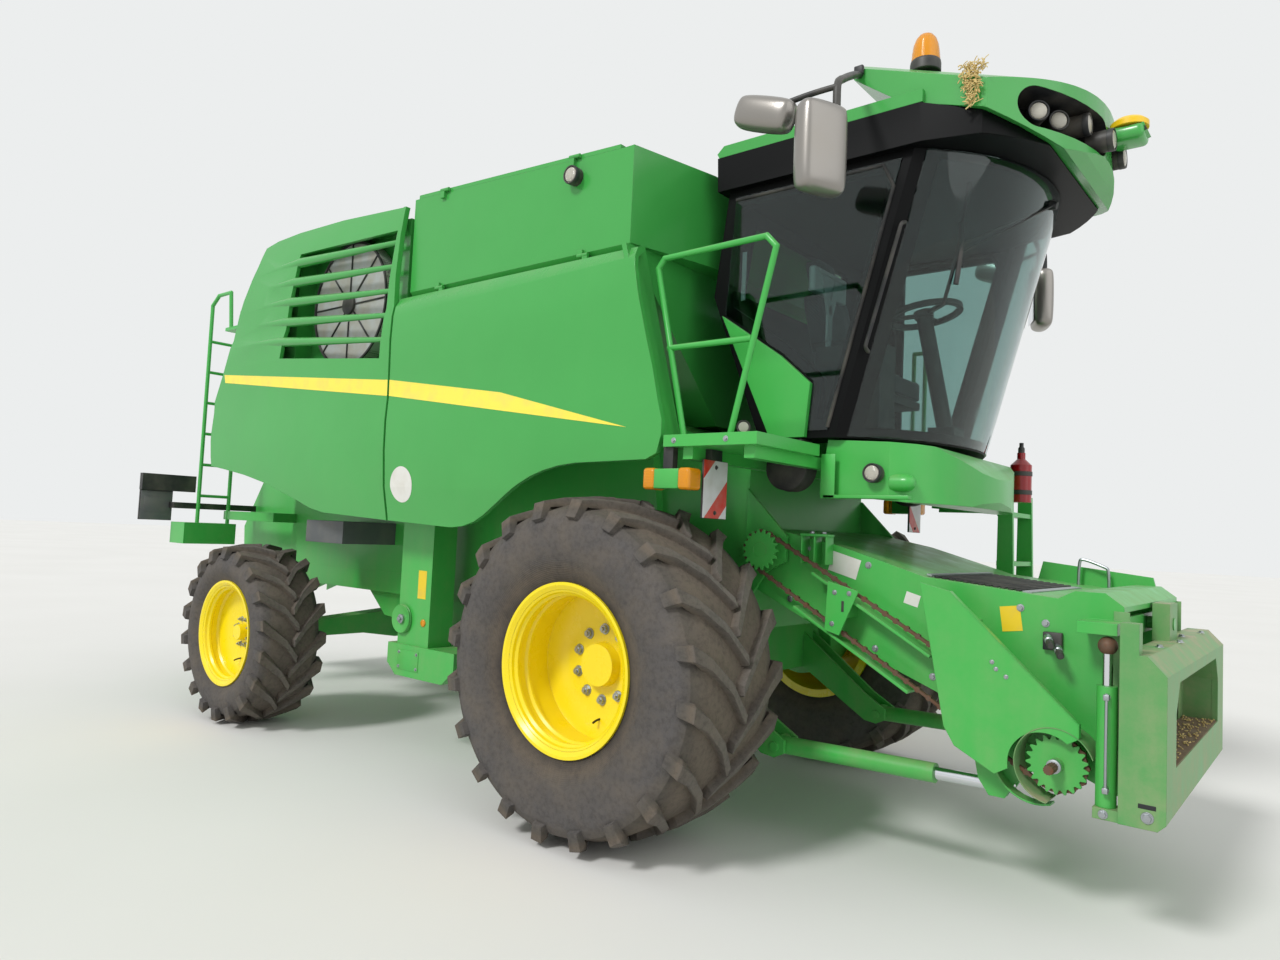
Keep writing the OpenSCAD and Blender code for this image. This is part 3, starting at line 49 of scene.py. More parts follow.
WHEEL_BASE = 3.65
FRONT_RADIUS, FRONT_TRACK = 0.905, 2.69
REAR_RADIUS, REAR_TRACK = 0.695, 2.92
CAB_HALF = 0.85
FEEDER_HALF = 0.70
# The lower chain sprocket's middle
SPROCKET_X, SPROCKET_Z = 2.145, 0.710
# How far a film or skin lies off the sheet under it
FILM = 0.0015
RIGHT, LEFT = -1, 1
SIDES = ((RIGHT, "right"), (LEFT, "left"))


def at(x, y, z):
    """A point given from the floor under the front axle."""
    return Vector((x + AXLE_X, y, z))


STEP_LAMP = at(0.565, -0.945, 2.222)
STEP_LAMP_AIM = Vector((0.55, -0.83, 0)).normalized()


# Camera, floor and light

def place_camera():
    """The camera at a standing person's eye height, ahead of the machine and to its right."""
    spot, lens_mm = at(3.1501, -4.9479, 1.6366), 24.583
    yaw, pitch, roll = (math.radians(a) for a in (-39.478, 3.28, 2.61))
    ahead = Vector((math.sin(yaw) * math.cos(pitch), math.cos(yaw) * math.cos(pitch), math.sin(pitch)))
    side = ahead.cross(Vector((0, 0, 1))).normalized()
    over = side.cross(ahead)
    right = math.cos(roll) * side + math.sin(roll) * over
    up = -math.sin(roll) * side + math.cos(roll) * over
    camera = bpy.data.objects.new("camera", bpy.data.cameras.new("camera"))
    camera.data.sensor_width = 36
    camera.data.lens = lens_mm
    camera.data.clip_end = 500
    turn = Matrix((right, up, -ahead)).transposed().to_4x4()
    camera.matrix_world = Matrix.Translation(spot) @ turn
    bpy.context.scene.collection.objects.link(camera)
    bpy.context.scene.camera = camera


def linear(colour):
    """The linear colour of an sRGB hex value."""
    parts = [int(colour[i:i + 2], 16) / 255 for i in (1, 3, 5)]
    return [c / 12.92 if c <= 0.04045 else ((c + 0.055) / 1.055) ** 2.4 for c in parts] + [1]


def add(tree, kind, inputs=None, stops=None, **settings):
    """Adds one node. inputs gives each socket a value, another node's output, or a node itself, which
    stands for its first output."""
    node = tree.nodes.new(kind)
    for name, value in settings.items():
        setattr(node, name, value)
    for socket, value in (inputs or {}).items():
        if isinstance(value, bpy.types.Node):
            value = value.outputs[0]
        if isinstance(value, bpy.types.NodeSocket):
            tree.links.new(value, node.inputs[socket])
        else:
            node.inputs[socket].default_value = value
    if stops:
        ramp = node.color_ramp
        while len(ramp.elements) < len(stops):
            ramp.elements.new(0.5)
        for element, (place, colour) in zip(ramp.elements, stops):
            element.position = place
            element.color = linear(colour)
    return node


def new_material(name):
    """An empty material and its node tree."""
    material = bpy.data.materials.new(name)
    material.use_nodes = True
    material.node_tree.nodes.clear()
    return material, material.node_tree


def finish_material(tree, shader):
    """Links the shader to the material's output."""
    add(tree, "ShaderNodeOutputMaterial", {"Surface": shader})


def studio():
    """Pale surroundings that light less than they show, a soft sun behind the camera's left shoulder, a
    faint one from ahead, and the floor."""
    world = bpy.data.worlds.new("studio")
    bpy.context.scene.world = world
    world.use_nodes = True
    tree = world.node_tree
    tree.nodes.clear()
    rays = add(tree, "ShaderNodeLightPath").outputs
    seen = add(tree, "ShaderNodeMath", {0: rays["Is Camera Ray"], 1: rays["Is Glossy Ray"]},
               operation="MAXIMUM")
    seen = add(tree, "ShaderNodeMath", {0: seen, 1: rays["Is Transmission Ray"]},
               operation="MAXIMUM")
    strength = add(tree, "ShaderNodeMapRange", {"Value": seen, "To Min": 0.76, "To Max": 1.0})
    sky = add(tree, "ShaderNodeBackground", {"Color": linear("#eceeee"), "Strength": strength})
    add(tree, "ShaderNodeOutputWorld", {"Surface": sky})
    for name, energy, spread, direction in (
            ("key", 1.95, 12, (0.10, 0.74, -0.66)),
            ("fill", 0.6, 60, (-0.85, 0.10, -0.50))):
        lamp = bpy.data.lights.new(name, "SUN")
        lamp.energy = energy
        lamp.angle = math.radians(spread)
        holder = bpy.data.objects.new(name, lamp)
        holder.rotation_euler = Vector(direction).to_track_quat("-Z", "Y").to_euler()
        bpy.context.scene.collection.objects.link(holder)
    floor_mesh = bmesh.new()
    bmesh.ops.create_circle(floor_mesh, cap_ends=True, segments=96, radius=90)
    piece("floor", floor_mesh, studio_floor(), "")


def studio_floor():
    """Pale matt studio floor; a broad faint mottle keeps it from looking computed."""
    material, tree = new_material("pale studio floor")
    place = add(tree, "ShaderNodeTexCoord").outputs["Object"]
    cloud = add(tree, "ShaderNodeTexNoise", {"Vector": place, "Scale": 0.35, "Detail": 4.0})
    colour = add(tree, "ShaderNodeMix", {0: cloud, 6: linear("#d9d8d4"), 7: linear("#e3e2df")},
                 data_type="RGBA")
    finish_material(tree, add(tree, "ShaderNodeBsdfPrincipled",
                              {"Base Color": colour.outputs[2], "Roughness": 0.9}))
    return material


# Making pieces

def piece(name, mesh, material, body, smooth=None):
    """Makes an object of a finished bmesh and lets it ride on a body."""
    data = bpy.data.meshes.new(name)
    mesh.to_mesh(data)
    mesh.free()
    made = bpy.data.objects.new(name, data)
    bpy.context.scene.collection.objects.link(made)
    data.materials.append(material)
    if smooth is not None:
        for face in data.polygons:
            face.use_smooth = True
        data.set_sharp_from_angle(angle=math.radians(smooth))
    if body:
        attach(made, body)
    return made


def turned(axis, spin=0.0):
    """The rotation that lays local Z along an axis, after a turn round Z."""
    return Vector(axis).to_track_quat("Z", "Y").to_matrix().to_4x4() @ Matrix.Rotation(spin, 4, "Z")


def add_box(mesh, place, size, round_by=0.0, segments=2):
    """A block round the origin of a matrix, its edges rounded."""
    made = bmesh.ops.create_cube(mesh, size=1.0, matrix=place @ Matrix.Diagonal((*size, 1.0)))["verts"]
    if round_by:
        edges = {edge for vert in made for edge in vert.link_edges}
        bmesh.ops.bevel(mesh, geom=list(edges), offset=round_by, segments=segments, profile=0.5,
                        affect="EDGES", material=-1)


def add_block(mesh, corner, opposite, round_by=0.0, segments=2):
    """A block between two opposite corners, whichever pair, its edges rounded."""
    size = [abs(b - a) for a, b in zip(corner, opposite)]
    add_box(mesh, Matrix.Translation((corner + opposite) / 2), size, round_by, segments)


def add_stack(mesh, place, out, spin, rows):
    """Discs on one axis. Each row: lift of its middle, depth, lower and upper radius, sides."""
    for lift, depth, low_radius, top_radius, sides in rows:
        bmesh.ops.create_cone(mesh, cap_ends=True, segments=sides, radius1=low_radius, radius2=top_radius,
                              depth=depth, matrix=Matrix.Translation(place + lift * out) @ turned(out, spin))


def add_bolt(mesh, place, out, size):
    """A hexagon head on its washer, its turn worked out from its place so that no two stand alike."""
    rows = ((0.1 * size, 0.2 * size, 1.5 * size, 1.4 * size, 24),
            (0.55 * size, 0.75 * size, size, 0.95 * size, 6))
    add_stack(mesh, place, Vector(out), 7.0 * sum(place), rows)


def add_plate(mesh, outline, depth):
    """A flat plate with an outline, extruded by depth."""
    near = [mesh.verts.new(point) for point in outline]
    made = bmesh.ops.extrude_face_region(mesh, geom=[mesh.faces.new(near)])["geom"]
    far = [item for item in made if isinstance(item, bmesh.types.BMVert)]
    bmesh.ops.translate(mesh, verts=far, vec=depth)
    faces = {face for vert in near + far for face in vert.link_faces}
    bmesh.ops.recalc_face_normals(mesh, faces=list(faces))


def add_strip(mesh, route, reach, thick, closed=False):
    """A strip of sheet: a route of points extruded by reach and given its thickness."""
    near = [mesh.verts.new(point) for point in route]
    pairs = list(zip(near, near[1:] + near[:1]))
    edges = [mesh.edges.new(pair) for pair in (pairs if closed else pairs[:-1])]
    made = bmesh.ops.extrude_edge_only(mesh, edges=edges)["geom"]
    far = [item for item in made if isinstance(item, bmesh.types.BMVert)]
    bmesh.ops.translate(mesh, verts=far, vec=reach)
    faces = [item for item in made if isinstance(item, bmesh.types.BMFace)]
    bmesh.ops.recalc_face_normals(mesh, faces=faces)
    bmesh.ops.solidify(mesh, geom=faces, thickness=thick)


def add_turning(mesh, profile, place, axis, steps=48):
    """A profile of radius and height spun round an axis that starts at place."""
    matrix = Matrix.Translation(place) @ turned(axis)
    points = [mesh.verts.new(matrix @ Vector((max(r, 0.0), 0, h))) for r, h in profile]
    edges = [mesh.edges.new(pair) for pair in zip(points, points[1:])]
    bmesh.ops.spin(mesh, geom=points + edges, cent=place, axis=Vector(axis).normalized(),
                   angle=math.tau, steps=steps, use_merge=True)
    bmesh.ops.remove_doubles(mesh, verts=mesh.verts[:], dist=0.00005)
    bmesh.ops.recalc_face_normals(mesh, faces=mesh.faces[:])


def add_tube(mesh, points, radius, rounded=True):
    """A round bar, pipe or cable along a route, its corners swept round unless it is straight."""
    curve = bpy.data.curves.new("route", "CURVE")
    curve.dimensions = "3D"
    curve.bevel_depth = radius
    curve.bevel_resolution = 2
    curve.resolution_u = 6
    curve.use_fill_caps = True
    spline = curve.splines.new("NURBS")
    spline.points.add(len(points) - 1)
    for knot, point in zip(spline.points, points):
        knot.co = (*point, 1.0)
    spline.use_endpoint_u = True
    spline.order_u = 3 if rounded and len(points) > 2 else 2
    holder = bpy.data.objects.new("route", curve)
    bpy.context.scene.collection.objects.link(holder)
    data = bpy.data.meshes.new_from_object(holder.evaluated_get(bpy.context.evaluated_depsgraph_get()))
    mesh.from_mesh(data)
    bpy.data.objects.remove(holder)
    bpy.data.meshes.remove(data)


def add_cut(mesh, node, outline, side):
    """The outer skin of a side's CAD node inside a convex X-Z outline, lifted off it like a film."""
    copy = bmesh.new()
    copy.from_mesh(nodes[node].data)
    bmesh.ops.remove_doubles(copy, verts=copy.verts, dist=0.0002)
    outward, least = Vector((0, side, 0)), 0.3
    away = [face for face in copy.faces if face.normal.dot(outward) < least]
    bmesh.ops.delete(copy, geom=away, context="FACES")
    corners = [at(x, 0, z) for x, z in outline]
    middle = sum(corners, Vector()) / len(corners)
    for a, b in zip(corners, corners[1:] + corners[:1]):
        normal = (b - a).cross(Vector((0, 1, 0)))
        if normal.dot(middle - a) > 0:
            normal.negate()
        bmesh.ops.bisect_plane(copy, geom=copy.verts[:] + copy.edges[:] + copy.faces[:], plane_co=a,
                               plane_no=normal, clear_outer=True)
    for vert in copy.verts:
        vert.co += FILM * outward
    data = bpy.data.meshes.new("cut")
    copy.to_mesh(data)
    copy.free()
    mesh.from_mesh(data)
    bpy.data.meshes.remove(data)


def smooth_skins():
    """Lets the CAD nodes shade as pressed and moulded skins: edges under 32 degrees are soft."""
    tree = bpy.data.node_groups.new("soft_folds", "GeometryNodeTree")
    tree.interface.new_socket("Geometry", in_out="INPUT", socket_type="NodeSocketGeometry")
    tree.interface.new_socket("Geometry", in_out="OUTPUT", socket_type="NodeSocketGeometry")
    skin = add(tree, "NodeGroupInput")
    skin = add(tree, "GeometryNodeRemoveAttribute", {"Geometry": skin, "Name": "custom_normal"})
    skin = add(tree, "GeometryNodeMergeByDistance", {"Geometry": skin, "Distance": 0.0001})
    skin = add(tree, "GeometryNodeSetShadeSmooth", {"Geometry": skin, "Shade Smooth": True})
    angle = add(tree, "GeometryNodeInputMeshEdgeAngle")
    fold = add(tree, "FunctionNodeCompare", {0: angle, 1: math.radians(32)}, operation="GREATER_THAN")
    sides = add(tree, "GeometryNodeInputMeshEdgeNeighbors")
    seam = add(tree, "FunctionNodeCompare", {2: sides, 3: 2}, data_type="INT", operation="NOT_EQUAL")
    hard = add(tree, "FunctionNodeBooleanMath", {0: fold, 1: seam}, operation="OR")
    skin = add(tree, "GeometryNodeSetShadeSmooth", {"Geometry": skin, "Selection": hard,
                                                    "Shade Smooth": False}, domain="EDGE")
    add(tree, "NodeGroupOutput", {0: skin})
    for node in nodes.values():
        node.modifiers.new("soft_folds", "NODES").node_group = tree


# Finishes

def painted_steel(name, colour, shade, dust=0.25, gloss=0.28, grime=0.0, wear=0.3):
    """Baked enamel on pressed sheet steel: even colour, a soft gloss that waves with the sheet,
    folded edges that catch the light, dust on what faces up, and dull grime low down and in streaks.
    Fading lies in patches 0.7 m wide, dust in blotches of 110 mm, and the sheet waves every 0.3 m."""
    material, tree = new_material(name)
    place = add(tree, "ShaderNodeTexCoord").outputs["Object"]
    flat = add(tree, "ShaderNodeNewGeometry").outputs["Normal"]
    folded = add(tree, "ShaderNodeBevel", {"Radius": 0.004}, samples=4)
    cloud = add(tree, "ShaderNodeTexNoise", {"Vector": place, "Scale": 1.4, "Detail": 5.0, "Roughness": 0.6})
    body = add(tree, "ShaderNodeMix", {0: cloud, 6: linear(shade), 7: linear(colour)},
               data_type="RGBA")
    facing = add(tree, "ShaderNodeSeparateXYZ", {0: flat}).outputs[2]
    level = add(tree, "ShaderNodeSeparateXYZ", {0: place}).outputs[2]
    lying = add(tree, "ShaderNodeMapRange", {"Value": facing, "From Min": 0.2, "From Max": 1.0,
                                             "To Max": dust})
    low = add(tree, "ShaderNodeMapRange", {"Value": level, "From Min": 0.3, "From Max": 2.2,
                                           "To Min": grime, "To Max": grime * 0.15})
    fine = add(tree, "ShaderNodeTexNoise", {"Vector": place, "Scale": 9.0, "Detail": 8.0, "Roughness": 0.7})
    drawn = add(tree, "ShaderNodeMapping", {"Vector": place, "Scale": (7.0, 7.0, 0.6)})
    streak = add(tree, "ShaderNodeTexNoise", {"Vector": drawn, "Scale": 1.0, "Detail": 4.0})
    film = add(tree, "ShaderNodeMath", {0: lying, 1: low}, operation="ADD")
    patch = add(tree, "ShaderNodeMath", {0: fine, 1: streak}, operation="MULTIPLY")
    patch = add(tree, "ShaderNodeMapRange", {"Value": patch, "From Min": 0.12, "From Max": 0.42})
    cover = add(tree, "ShaderNodeMath", {0: film, 1: patch}, operation="MULTIPLY",
                use_clamp=True)
    dirty = add(tree, "ShaderNodeMix", {0: cover, 6: body.outputs[2], 7: linear("#a79b7f")},
                data_type="RGBA")
    turn = add(tree, "ShaderNodeVectorMath", {0: folded, 1: flat}, operation="DOT_PRODUCT").outputs["Value"]
    rim = add(tree, "ShaderNodeMapRange", {"Value": turn, "From Min": 0.97, "From Max": 0.86,
                                           "To Max": wear})
    chip = add(tree, "ShaderNodeMapRange", {"Value": fine, "From Min": 0.48, "From Max": 0.62})
    worn = add(tree, "ShaderNodeMath", {0: rim, 1: chip}, operation="MULTIPLY")
    colours = add(tree, "ShaderNodeMix", {0: worn, 6: dirty.outputs[2], 7: linear("#8f8a72")},
                  data_type="RGBA")
    sheen = add(tree, "ShaderNodeMapRange", {"Value": cover, "From Max": 0.6,
                                             "To Min": gloss, "To Max": 0.8})
    wave = add(tree, "ShaderNodeTexNoise", {"Vector": place, "Scale": 3.5, "Detail": 1.0})
    swell = add(tree, "ShaderNodeBump", {"Height": wave, "Normal": folded, "Strength": 0.2,
                                         "Distance": 0.02})
    grit = add(tree, "ShaderNodeBump", {"Height": fine, "Normal": swell,
                                        "Strength": 0.12, "Distance": 0.002})
    finish_material(tree, add(tree, "ShaderNodeBsdfPrincipled", {
        "Base Color": colours.outputs[2], "Roughness": sheen, "Normal": grit,
        "Coat Weight": 0.15, "Coat Roughness": 0.15}))
    return material


def tyre_rubber(name, x, radius):
    """Vulcanised tyre rubber: dull and dark, worn paler on the lugs, with field dust rubbed into the
    side wall and dried mud between the lugs, in clods 26 mm wide. Mould rings run round the axle."""
    material, tree = new_material(name)
    place = add(tree, "ShaderNodeTexCoord").outputs["Object"]
    centred = add(tree, "ShaderNodeMapping", {"Vector": place, "Location": (-x - AXLE_X, 0.0, -radius)})
    wheel = add(tree, "ShaderNodeVectorMath", {0: centred, 1: (1.0, 0.0, 1.0)},
                operation="MULTIPLY")
    reach = add(tree, "ShaderNodeVectorMath", {0: wheel}, operation="LENGTH").outputs["Value"]
    share = add(tree, "ShaderNodeMath", {0: reach, 1: radius}, operation="DIVIDE")
    zones = add(tree, "ShaderNodeValToRGB", {0: share}, stops=[
        (0.50, "#35312e"), (0.56, "#564e46"), (0.62, "#514d4a"), (0.85, "#565352"), (0.91, "#534f4a"),
        (0.945, "#635a50"), (0.972, "#5f5953"), (1.0, "#66615b")])
    cloud = add(tree, "ShaderNodeTexNoise", {"Vector": place, "Scale": 5.0, "Detail": 8.0,
                                             "Roughness": 0.65})
    dust = add(tree, "ShaderNodeMapRange", {"Value": cloud, "From Min": 0.42, "From Max": 0.8,
                                            "To Max": 0.4})
    clod = add(tree, "ShaderNodeTexNoise", {"Vector": place, "Scale": 38.0, "Detail": 5.0, "Roughness": 0.7})
    dark = add(tree, "ShaderNodeMapRange", {"Value": clod, "From Min": 0.3, "From Max": 0.55,
                                            "To Min": 0.45, "To Max": 0.0})
    shaded = add(tree, "ShaderNodeMix", {0: dark, 6: zones, 7: linear("#2c2a28")},
                 data_type="RGBA")
    colour = add(tree, "ShaderNodeMix", {0: dust, 6: shaded.outputs[2], 7: linear("#776b5b")},
                 data_type="RGBA")
    # Mould rings 9 mm apart, only on the lower half of the side wall
    ring = add(tree, "ShaderNodeMath", {0: reach, 1: math.tau / 0.009}, operation="MULTIPLY")
    ring = add(tree, "ShaderNodeMath", {0: ring}, operation="SINE")
    band = add(tree, "ShaderNodeMapRange", {"Value": share, "From Min": 0.66, "From Max": 0.6})
    ring = add(tree, "ShaderNodeMath", {0: ring, 1: band}, operation="MULTIPLY")
    soft = add(tree, "ShaderNodeBevel", {"Radius": 0.008}, samples=4)
    mould = add(tree, "ShaderNodeBump", {"Height": ring, "Normal": soft, "Strength": 0.4,
                                         "Distance": 0.0015})
    bump = add(tree, "ShaderNodeBump", {"Height": clod, "Normal": mould,
                                        "Strength": 0.45, "Distance": 0.006})
    finish_material(tree, add(tree, "ShaderNodeBsdfPrincipled", {
        "Base Color": colour.outputs[2], "Roughness": 0.84, "Normal": bump,
        "Specular IOR Level": 0.3}))
    return material


def plastic(name, colour, roughness, dust, shine=0.5, metal=0.0):
    """Moulded plastic or rubber, lacquer or powder coat: a fine leathery grain, softened edges and a
    little pale dust. The grain is drawn at 3 mm, coarser than the real one, so that it shows."""
    material, tree = new_material(name)
    place = add(tree, "ShaderNodeTexCoord").outputs["Object"]
    cloud = add(tree, "ShaderNodeTexNoise", {"Vector": place, "Scale": 6.0, "Detail": 6.0})
    mix = add(tree, "ShaderNodeMapRange", {"Value": cloud, "From Min": 0.4, "From Max": 0.8,
                                           "To Max": dust})
    body = add(tree, "ShaderNodeMix", {0: mix, 6: linear(colour), 7: linear("#8d877a")},
               data_type="RGBA")
    pebble = add(tree, "ShaderNodeTexVoronoi", {"Vector": place, "Scale": 330.0})
    soft = add(tree, "ShaderNodeBevel", {"Radius": 0.004}, samples=4)
    bump = add(tree, "ShaderNodeBump", {"Height": pebble, "Normal": soft, "Strength": 0.15,
                                        "Distance": 0.0008})
    finish_material(tree, add(tree, "ShaderNodeBsdfPrincipled", {
        "Base Color": body.outputs[2], "Roughness": roughness, "Normal": bump,
        "Specular IOR Level": shine, "Metallic": metal}))
    return material


def cab_glazing(name, colour):
    """Toughened tinted glass, 6 mm: clear reflections, the tint in its body, and a wiped haze of dust in
    smears 250 mm wide."""
    material, tree = new_material(name)
    place = add(tree, "ShaderNodeTexCoord").outputs["Object"]
    smear = add(tree, "ShaderNodeTexNoise", {"Vector": place, "Scale": 4.0, "Detail": 6.0})
    haze = add(tree, "ShaderNodeMapRange", {"Value": smear, "From Min": 0.5, "From Max": 0.85,
                                            "To Min": 0.02, "To Max": 0.12})
    finish_material(tree, add(tree, "ShaderNodeBsdfPrincipled", {
        "Base Color": linear(colour), "Roughness": haze, "Transmission Weight": 1.0, "IOR": 1.45}))
    return material


def bare_metal(name, colour, roughness, rust=0.0):
    """Bright or rusting steel: turned or zinc coated, with brown bloom in patches of 33 mm where rust is
    given."""
    material, tree = new_material(name)
    place = add(tree, "ShaderNodeTexCoord").outputs["Object"]
    cloud = add(tree, "ShaderNodeTexNoise", {"Vector": place, "Scale": 30.0, "Detail": 8.0,
                                             "Roughness": 0.7})
    mask = add(tree, "ShaderNodeMapRange", {"Value": cloud, "From Min": 0.6 - 0.4 * rust,
                                            "From Max": 0.7, "To Max": min(1.0, rust * 1.4)})
    colours = add(tree, "ShaderNodeMix", {0: mask, 6: linear(colour), 7: linear("#6b4326")},
                  data_type="RGBA")
    metal = add(tree, "ShaderNodeMapRange", {"Value": mask, "To Min": 1.0, "To Max": 0.1})
    dull = add(tree, "ShaderNodeMapRange", {"Value": mask, "To Min": roughness, "To Max": 0.85})
    soft = add(tree, "ShaderNodeBevel", {"Radius": 0.002}, samples=4)
    bump = add(tree, "ShaderNodeBump", {"Height": cloud, "Normal": soft,
                                        "Strength": 0.2 * rust + 0.02, "Distance": 0.002})
    finish_material(tree, add(tree, "ShaderNodeBsdfPrincipled", {
        "Base Color": colours.outputs[2], "Metallic": metal, "Roughness": dull,
        "Normal": bump}))
    return material


def lens(name, colour, clear=0.45):
    """Moulded acrylic lens: glossy outside, with ribs 8 mm apart that break up the light."""
    material, tree = new_material(name)
    place = add(tree, "ShaderNodeTexCoord").outputs["Object"]
    ribs = add(tree, "ShaderNodeTexWave", {"Vector": place, "Scale": 40.0, "Distortion": 0.5},
               bands_direction="Z")
    bump = add(tree, "ShaderNodeBump", {"Height": ribs.outputs[1], "Strength": 0.3, "Distance": 0.002})
    finish_material(tree, add(tree, "ShaderNodeBsdfPrincipled", {
        "Base Color": linear(colour), "Roughness": 0.15, "Normal": bump,
        "Transmission Weight": clear, "IOR": 1.49}))
    return material


def hazard_sheet(name):
    """Red and white reflective sheeting on aluminium: bars at 45 degrees that fall outwards on both
    sides, a little dusty. The reflecting cells are drawn 5 mm wide, so that they show."""
    material, tree = new_material(name)
    place = add(tree, "ShaderNodeTexCoord").outputs["Object"]
    parts = add(tree, "ShaderNodeSeparateXYZ", {0: place}).outputs
    apart = add(tree, "ShaderNodeMath", {0: parts[1]}, operation="ABSOLUTE")
    slant = add(tree, "ShaderNodeMath", {0: apart, 1: parts[2]}, operation="ADD")
    slant = add(tree, "ShaderNodeMapRange", {"Value": slant, "From Min": 2.765,
                                             "From Max": 3.10, "To Max": 1.0}, clamp=False)
    slant = add(tree, "ShaderNodeMath", {0: slant}, operation="FRACT")
    bar = add(tree, "ShaderNodeMath", {0: slant, 1: 0.62}, operation="GREATER_THAN")
    colour = add(tree, "ShaderNodeMix", {0: bar, 6: linear("#cbc8cd"), 7: linear("#c2271d")},
                 data_type="RGBA")
    cloud = add(tree, "ShaderNodeTexNoise", {"Vector": place, "Scale": 14.0, "Detail": 6.0})
    veil = add(tree, "ShaderNodeMapRange", {"Value": cloud, "From Min": 0.4, "From Max": 0.8,
                                            "To Max": 0.4})
    dusty = add(tree, "ShaderNodeMix", {0: veil, 6: colour.outputs[2], 7: linear("#9a9486")},
                data_type="RGBA")
    cells = add(tree, "ShaderNodeTexVoronoi", {"Vector": place, "Scale": 200.0})
    bump = add(tree, "ShaderNodeBump", {"Height": cells, "Strength": 0.1, "Distance": 0.0005})
    finish_material(tree, add(tree, "ShaderNodeBsdfPrincipled", {
        "Base Color": dusty.outputs[2], "Roughness": 0.35, "Normal": bump}))
    return material


def perforated_screen(name):
    """Perforated zinc-coated sheet: round holes, drawn 14 mm apart, that show the dark behind them,
    with chaff caught on the metal between. The real holes are about half as far apart."""
    material, tree = new_material(name)
    place = add(tree, "ShaderNodeTexCoord").outputs["Object"]
    holes = add(tree, "ShaderNodeTexVoronoi", {"Vector": place, "Scale": 70.0, "Randomness": 0.0})
    open_at = add(tree, "ShaderNodeMapRange", {"Value": holes, "From Min": 0.34, "From Max": 0.30})
    cloud = add(tree, "ShaderNodeTexNoise", {"Vector": place, "Scale": 7.0, "Detail": 6.0})
    chaff = add(tree, "ShaderNodeMapRange", {"Value": cloud, "From Min": 0.4, "From Max": 0.7,
                                             "To Max": 0.6})
    sheet = add(tree, "ShaderNodeMix", {0: chaff, 6: linear("#b9bcbb"), 7: linear("#a3977c")},
                data_type="RGBA")
    colour = add(tree, "ShaderNodeMix", {0: open_at, 6: sheet.outputs[2], 7: linear("#1c1d1c")},
                 data_type="RGBA")
    bump = add(tree, "ShaderNodeBump", {"Height": holes, "Strength": 0.4, "Distance": 0.002})
    finish_material(tree, add(tree, "ShaderNodeBsdfPrincipled", {
        "Base Color": colour.outputs[2], "Roughness": 0.5, "Normal": bump, "Metallic": 0.3}))
    return material


def seat_cloth(name):
    """Woven polyester seat cloth: matt dark grey and soft at grazing light, a plain weave whose threads
    are drawn 5 mm wide, coarser than real ones, so that it shows."""
    material, tree = new_material(name)
    place = add(tree, "ShaderNodeTexCoord").outputs["Object"]
    warp = add(tree, "ShaderNodeTexWave", {"Vector": place, "Scale": 30.0, "Distortion": 0.4},
               bands_direction="Y")
    weft = add(tree, "ShaderNodeTexWave", {"Vector": place, "Scale": 30.0, "Distortion": 0.4},
               bands_direction="DIAGONAL")
    weave = add(tree, "ShaderNodeMath", {0: warp.outputs[1], 1: weft.outputs[1]}, operation="MULTIPLY")
    colour = add(tree, "ShaderNodeMix", {0: weave, 6: linear("#3a3c40"), 7: linear("#5a5c60")},
                 data_type="RGBA")
    bump = add(tree, "ShaderNodeBump", {"Height": weave, "Strength": 0.3, "Distance": 0.002})
    finish_material(tree, add(tree, "ShaderNodeBsdfPrincipled", {
        "Base Color": colour.outputs[2], "Roughness": 0.9, "Normal": bump, "Sheen Weight": 0.3}))
    return material


def plain_film(name, colour, roughness=0.35):
    """Printed vinyl film, dry straw or soil: one matt colour with rubbed-in dust in patches of 90 mm."""
    material, tree = new_material(name)
    place = add(tree, "ShaderNodeTexCoord").outputs["Object"]
    cloud = add(tree, "ShaderNodeTexNoise", {"Vector": place, "Scale": 11.0, "Detail": 7.0})
    mask = add(tree, "ShaderNodeMapRange", {"Value": cloud, "From Min": 0.45, "From Max": 0.85,
                                            "To Max": 0.3})
    mix = add(tree, "ShaderNodeMix", {0: mask, 6: linear(colour), 7: linear("#a99f83")},
              data_type="RGBA")
    dull = add(tree, "ShaderNodeMapRange", {"Value": mask, "To Min": roughness, "To Max": 0.8})
    finish_material(tree, add(tree, "ShaderNodeBsdfPrincipled", {
        "Base Color": mix.outputs[2], "Roughness": dull}))
    return material


# Paintwork films and signs

def side_stripes(film):
    """The yellow stripe that runs down the side panels and ends in a point by the cab."""
    stripe = {
        "rear": [(-4.35, 2.80), (-1.956, 2.58), (-1.956, 2.47), (-4.33, 2.73)],
        "front": [(-1.944, 2.58), (-0.81, 2.42), (0.20, 2.17), (-1.944, 2.47)]}
    for side, word in SIDES:
        for end, outline in stripe.items():
            mesh = bmesh.new()
            add_cut(mesh, f"panel_{end}_{word}", outline, side)
            piece(f"stripe_{end}_{word}", mesh, film, f"panel_{end}_{word}")


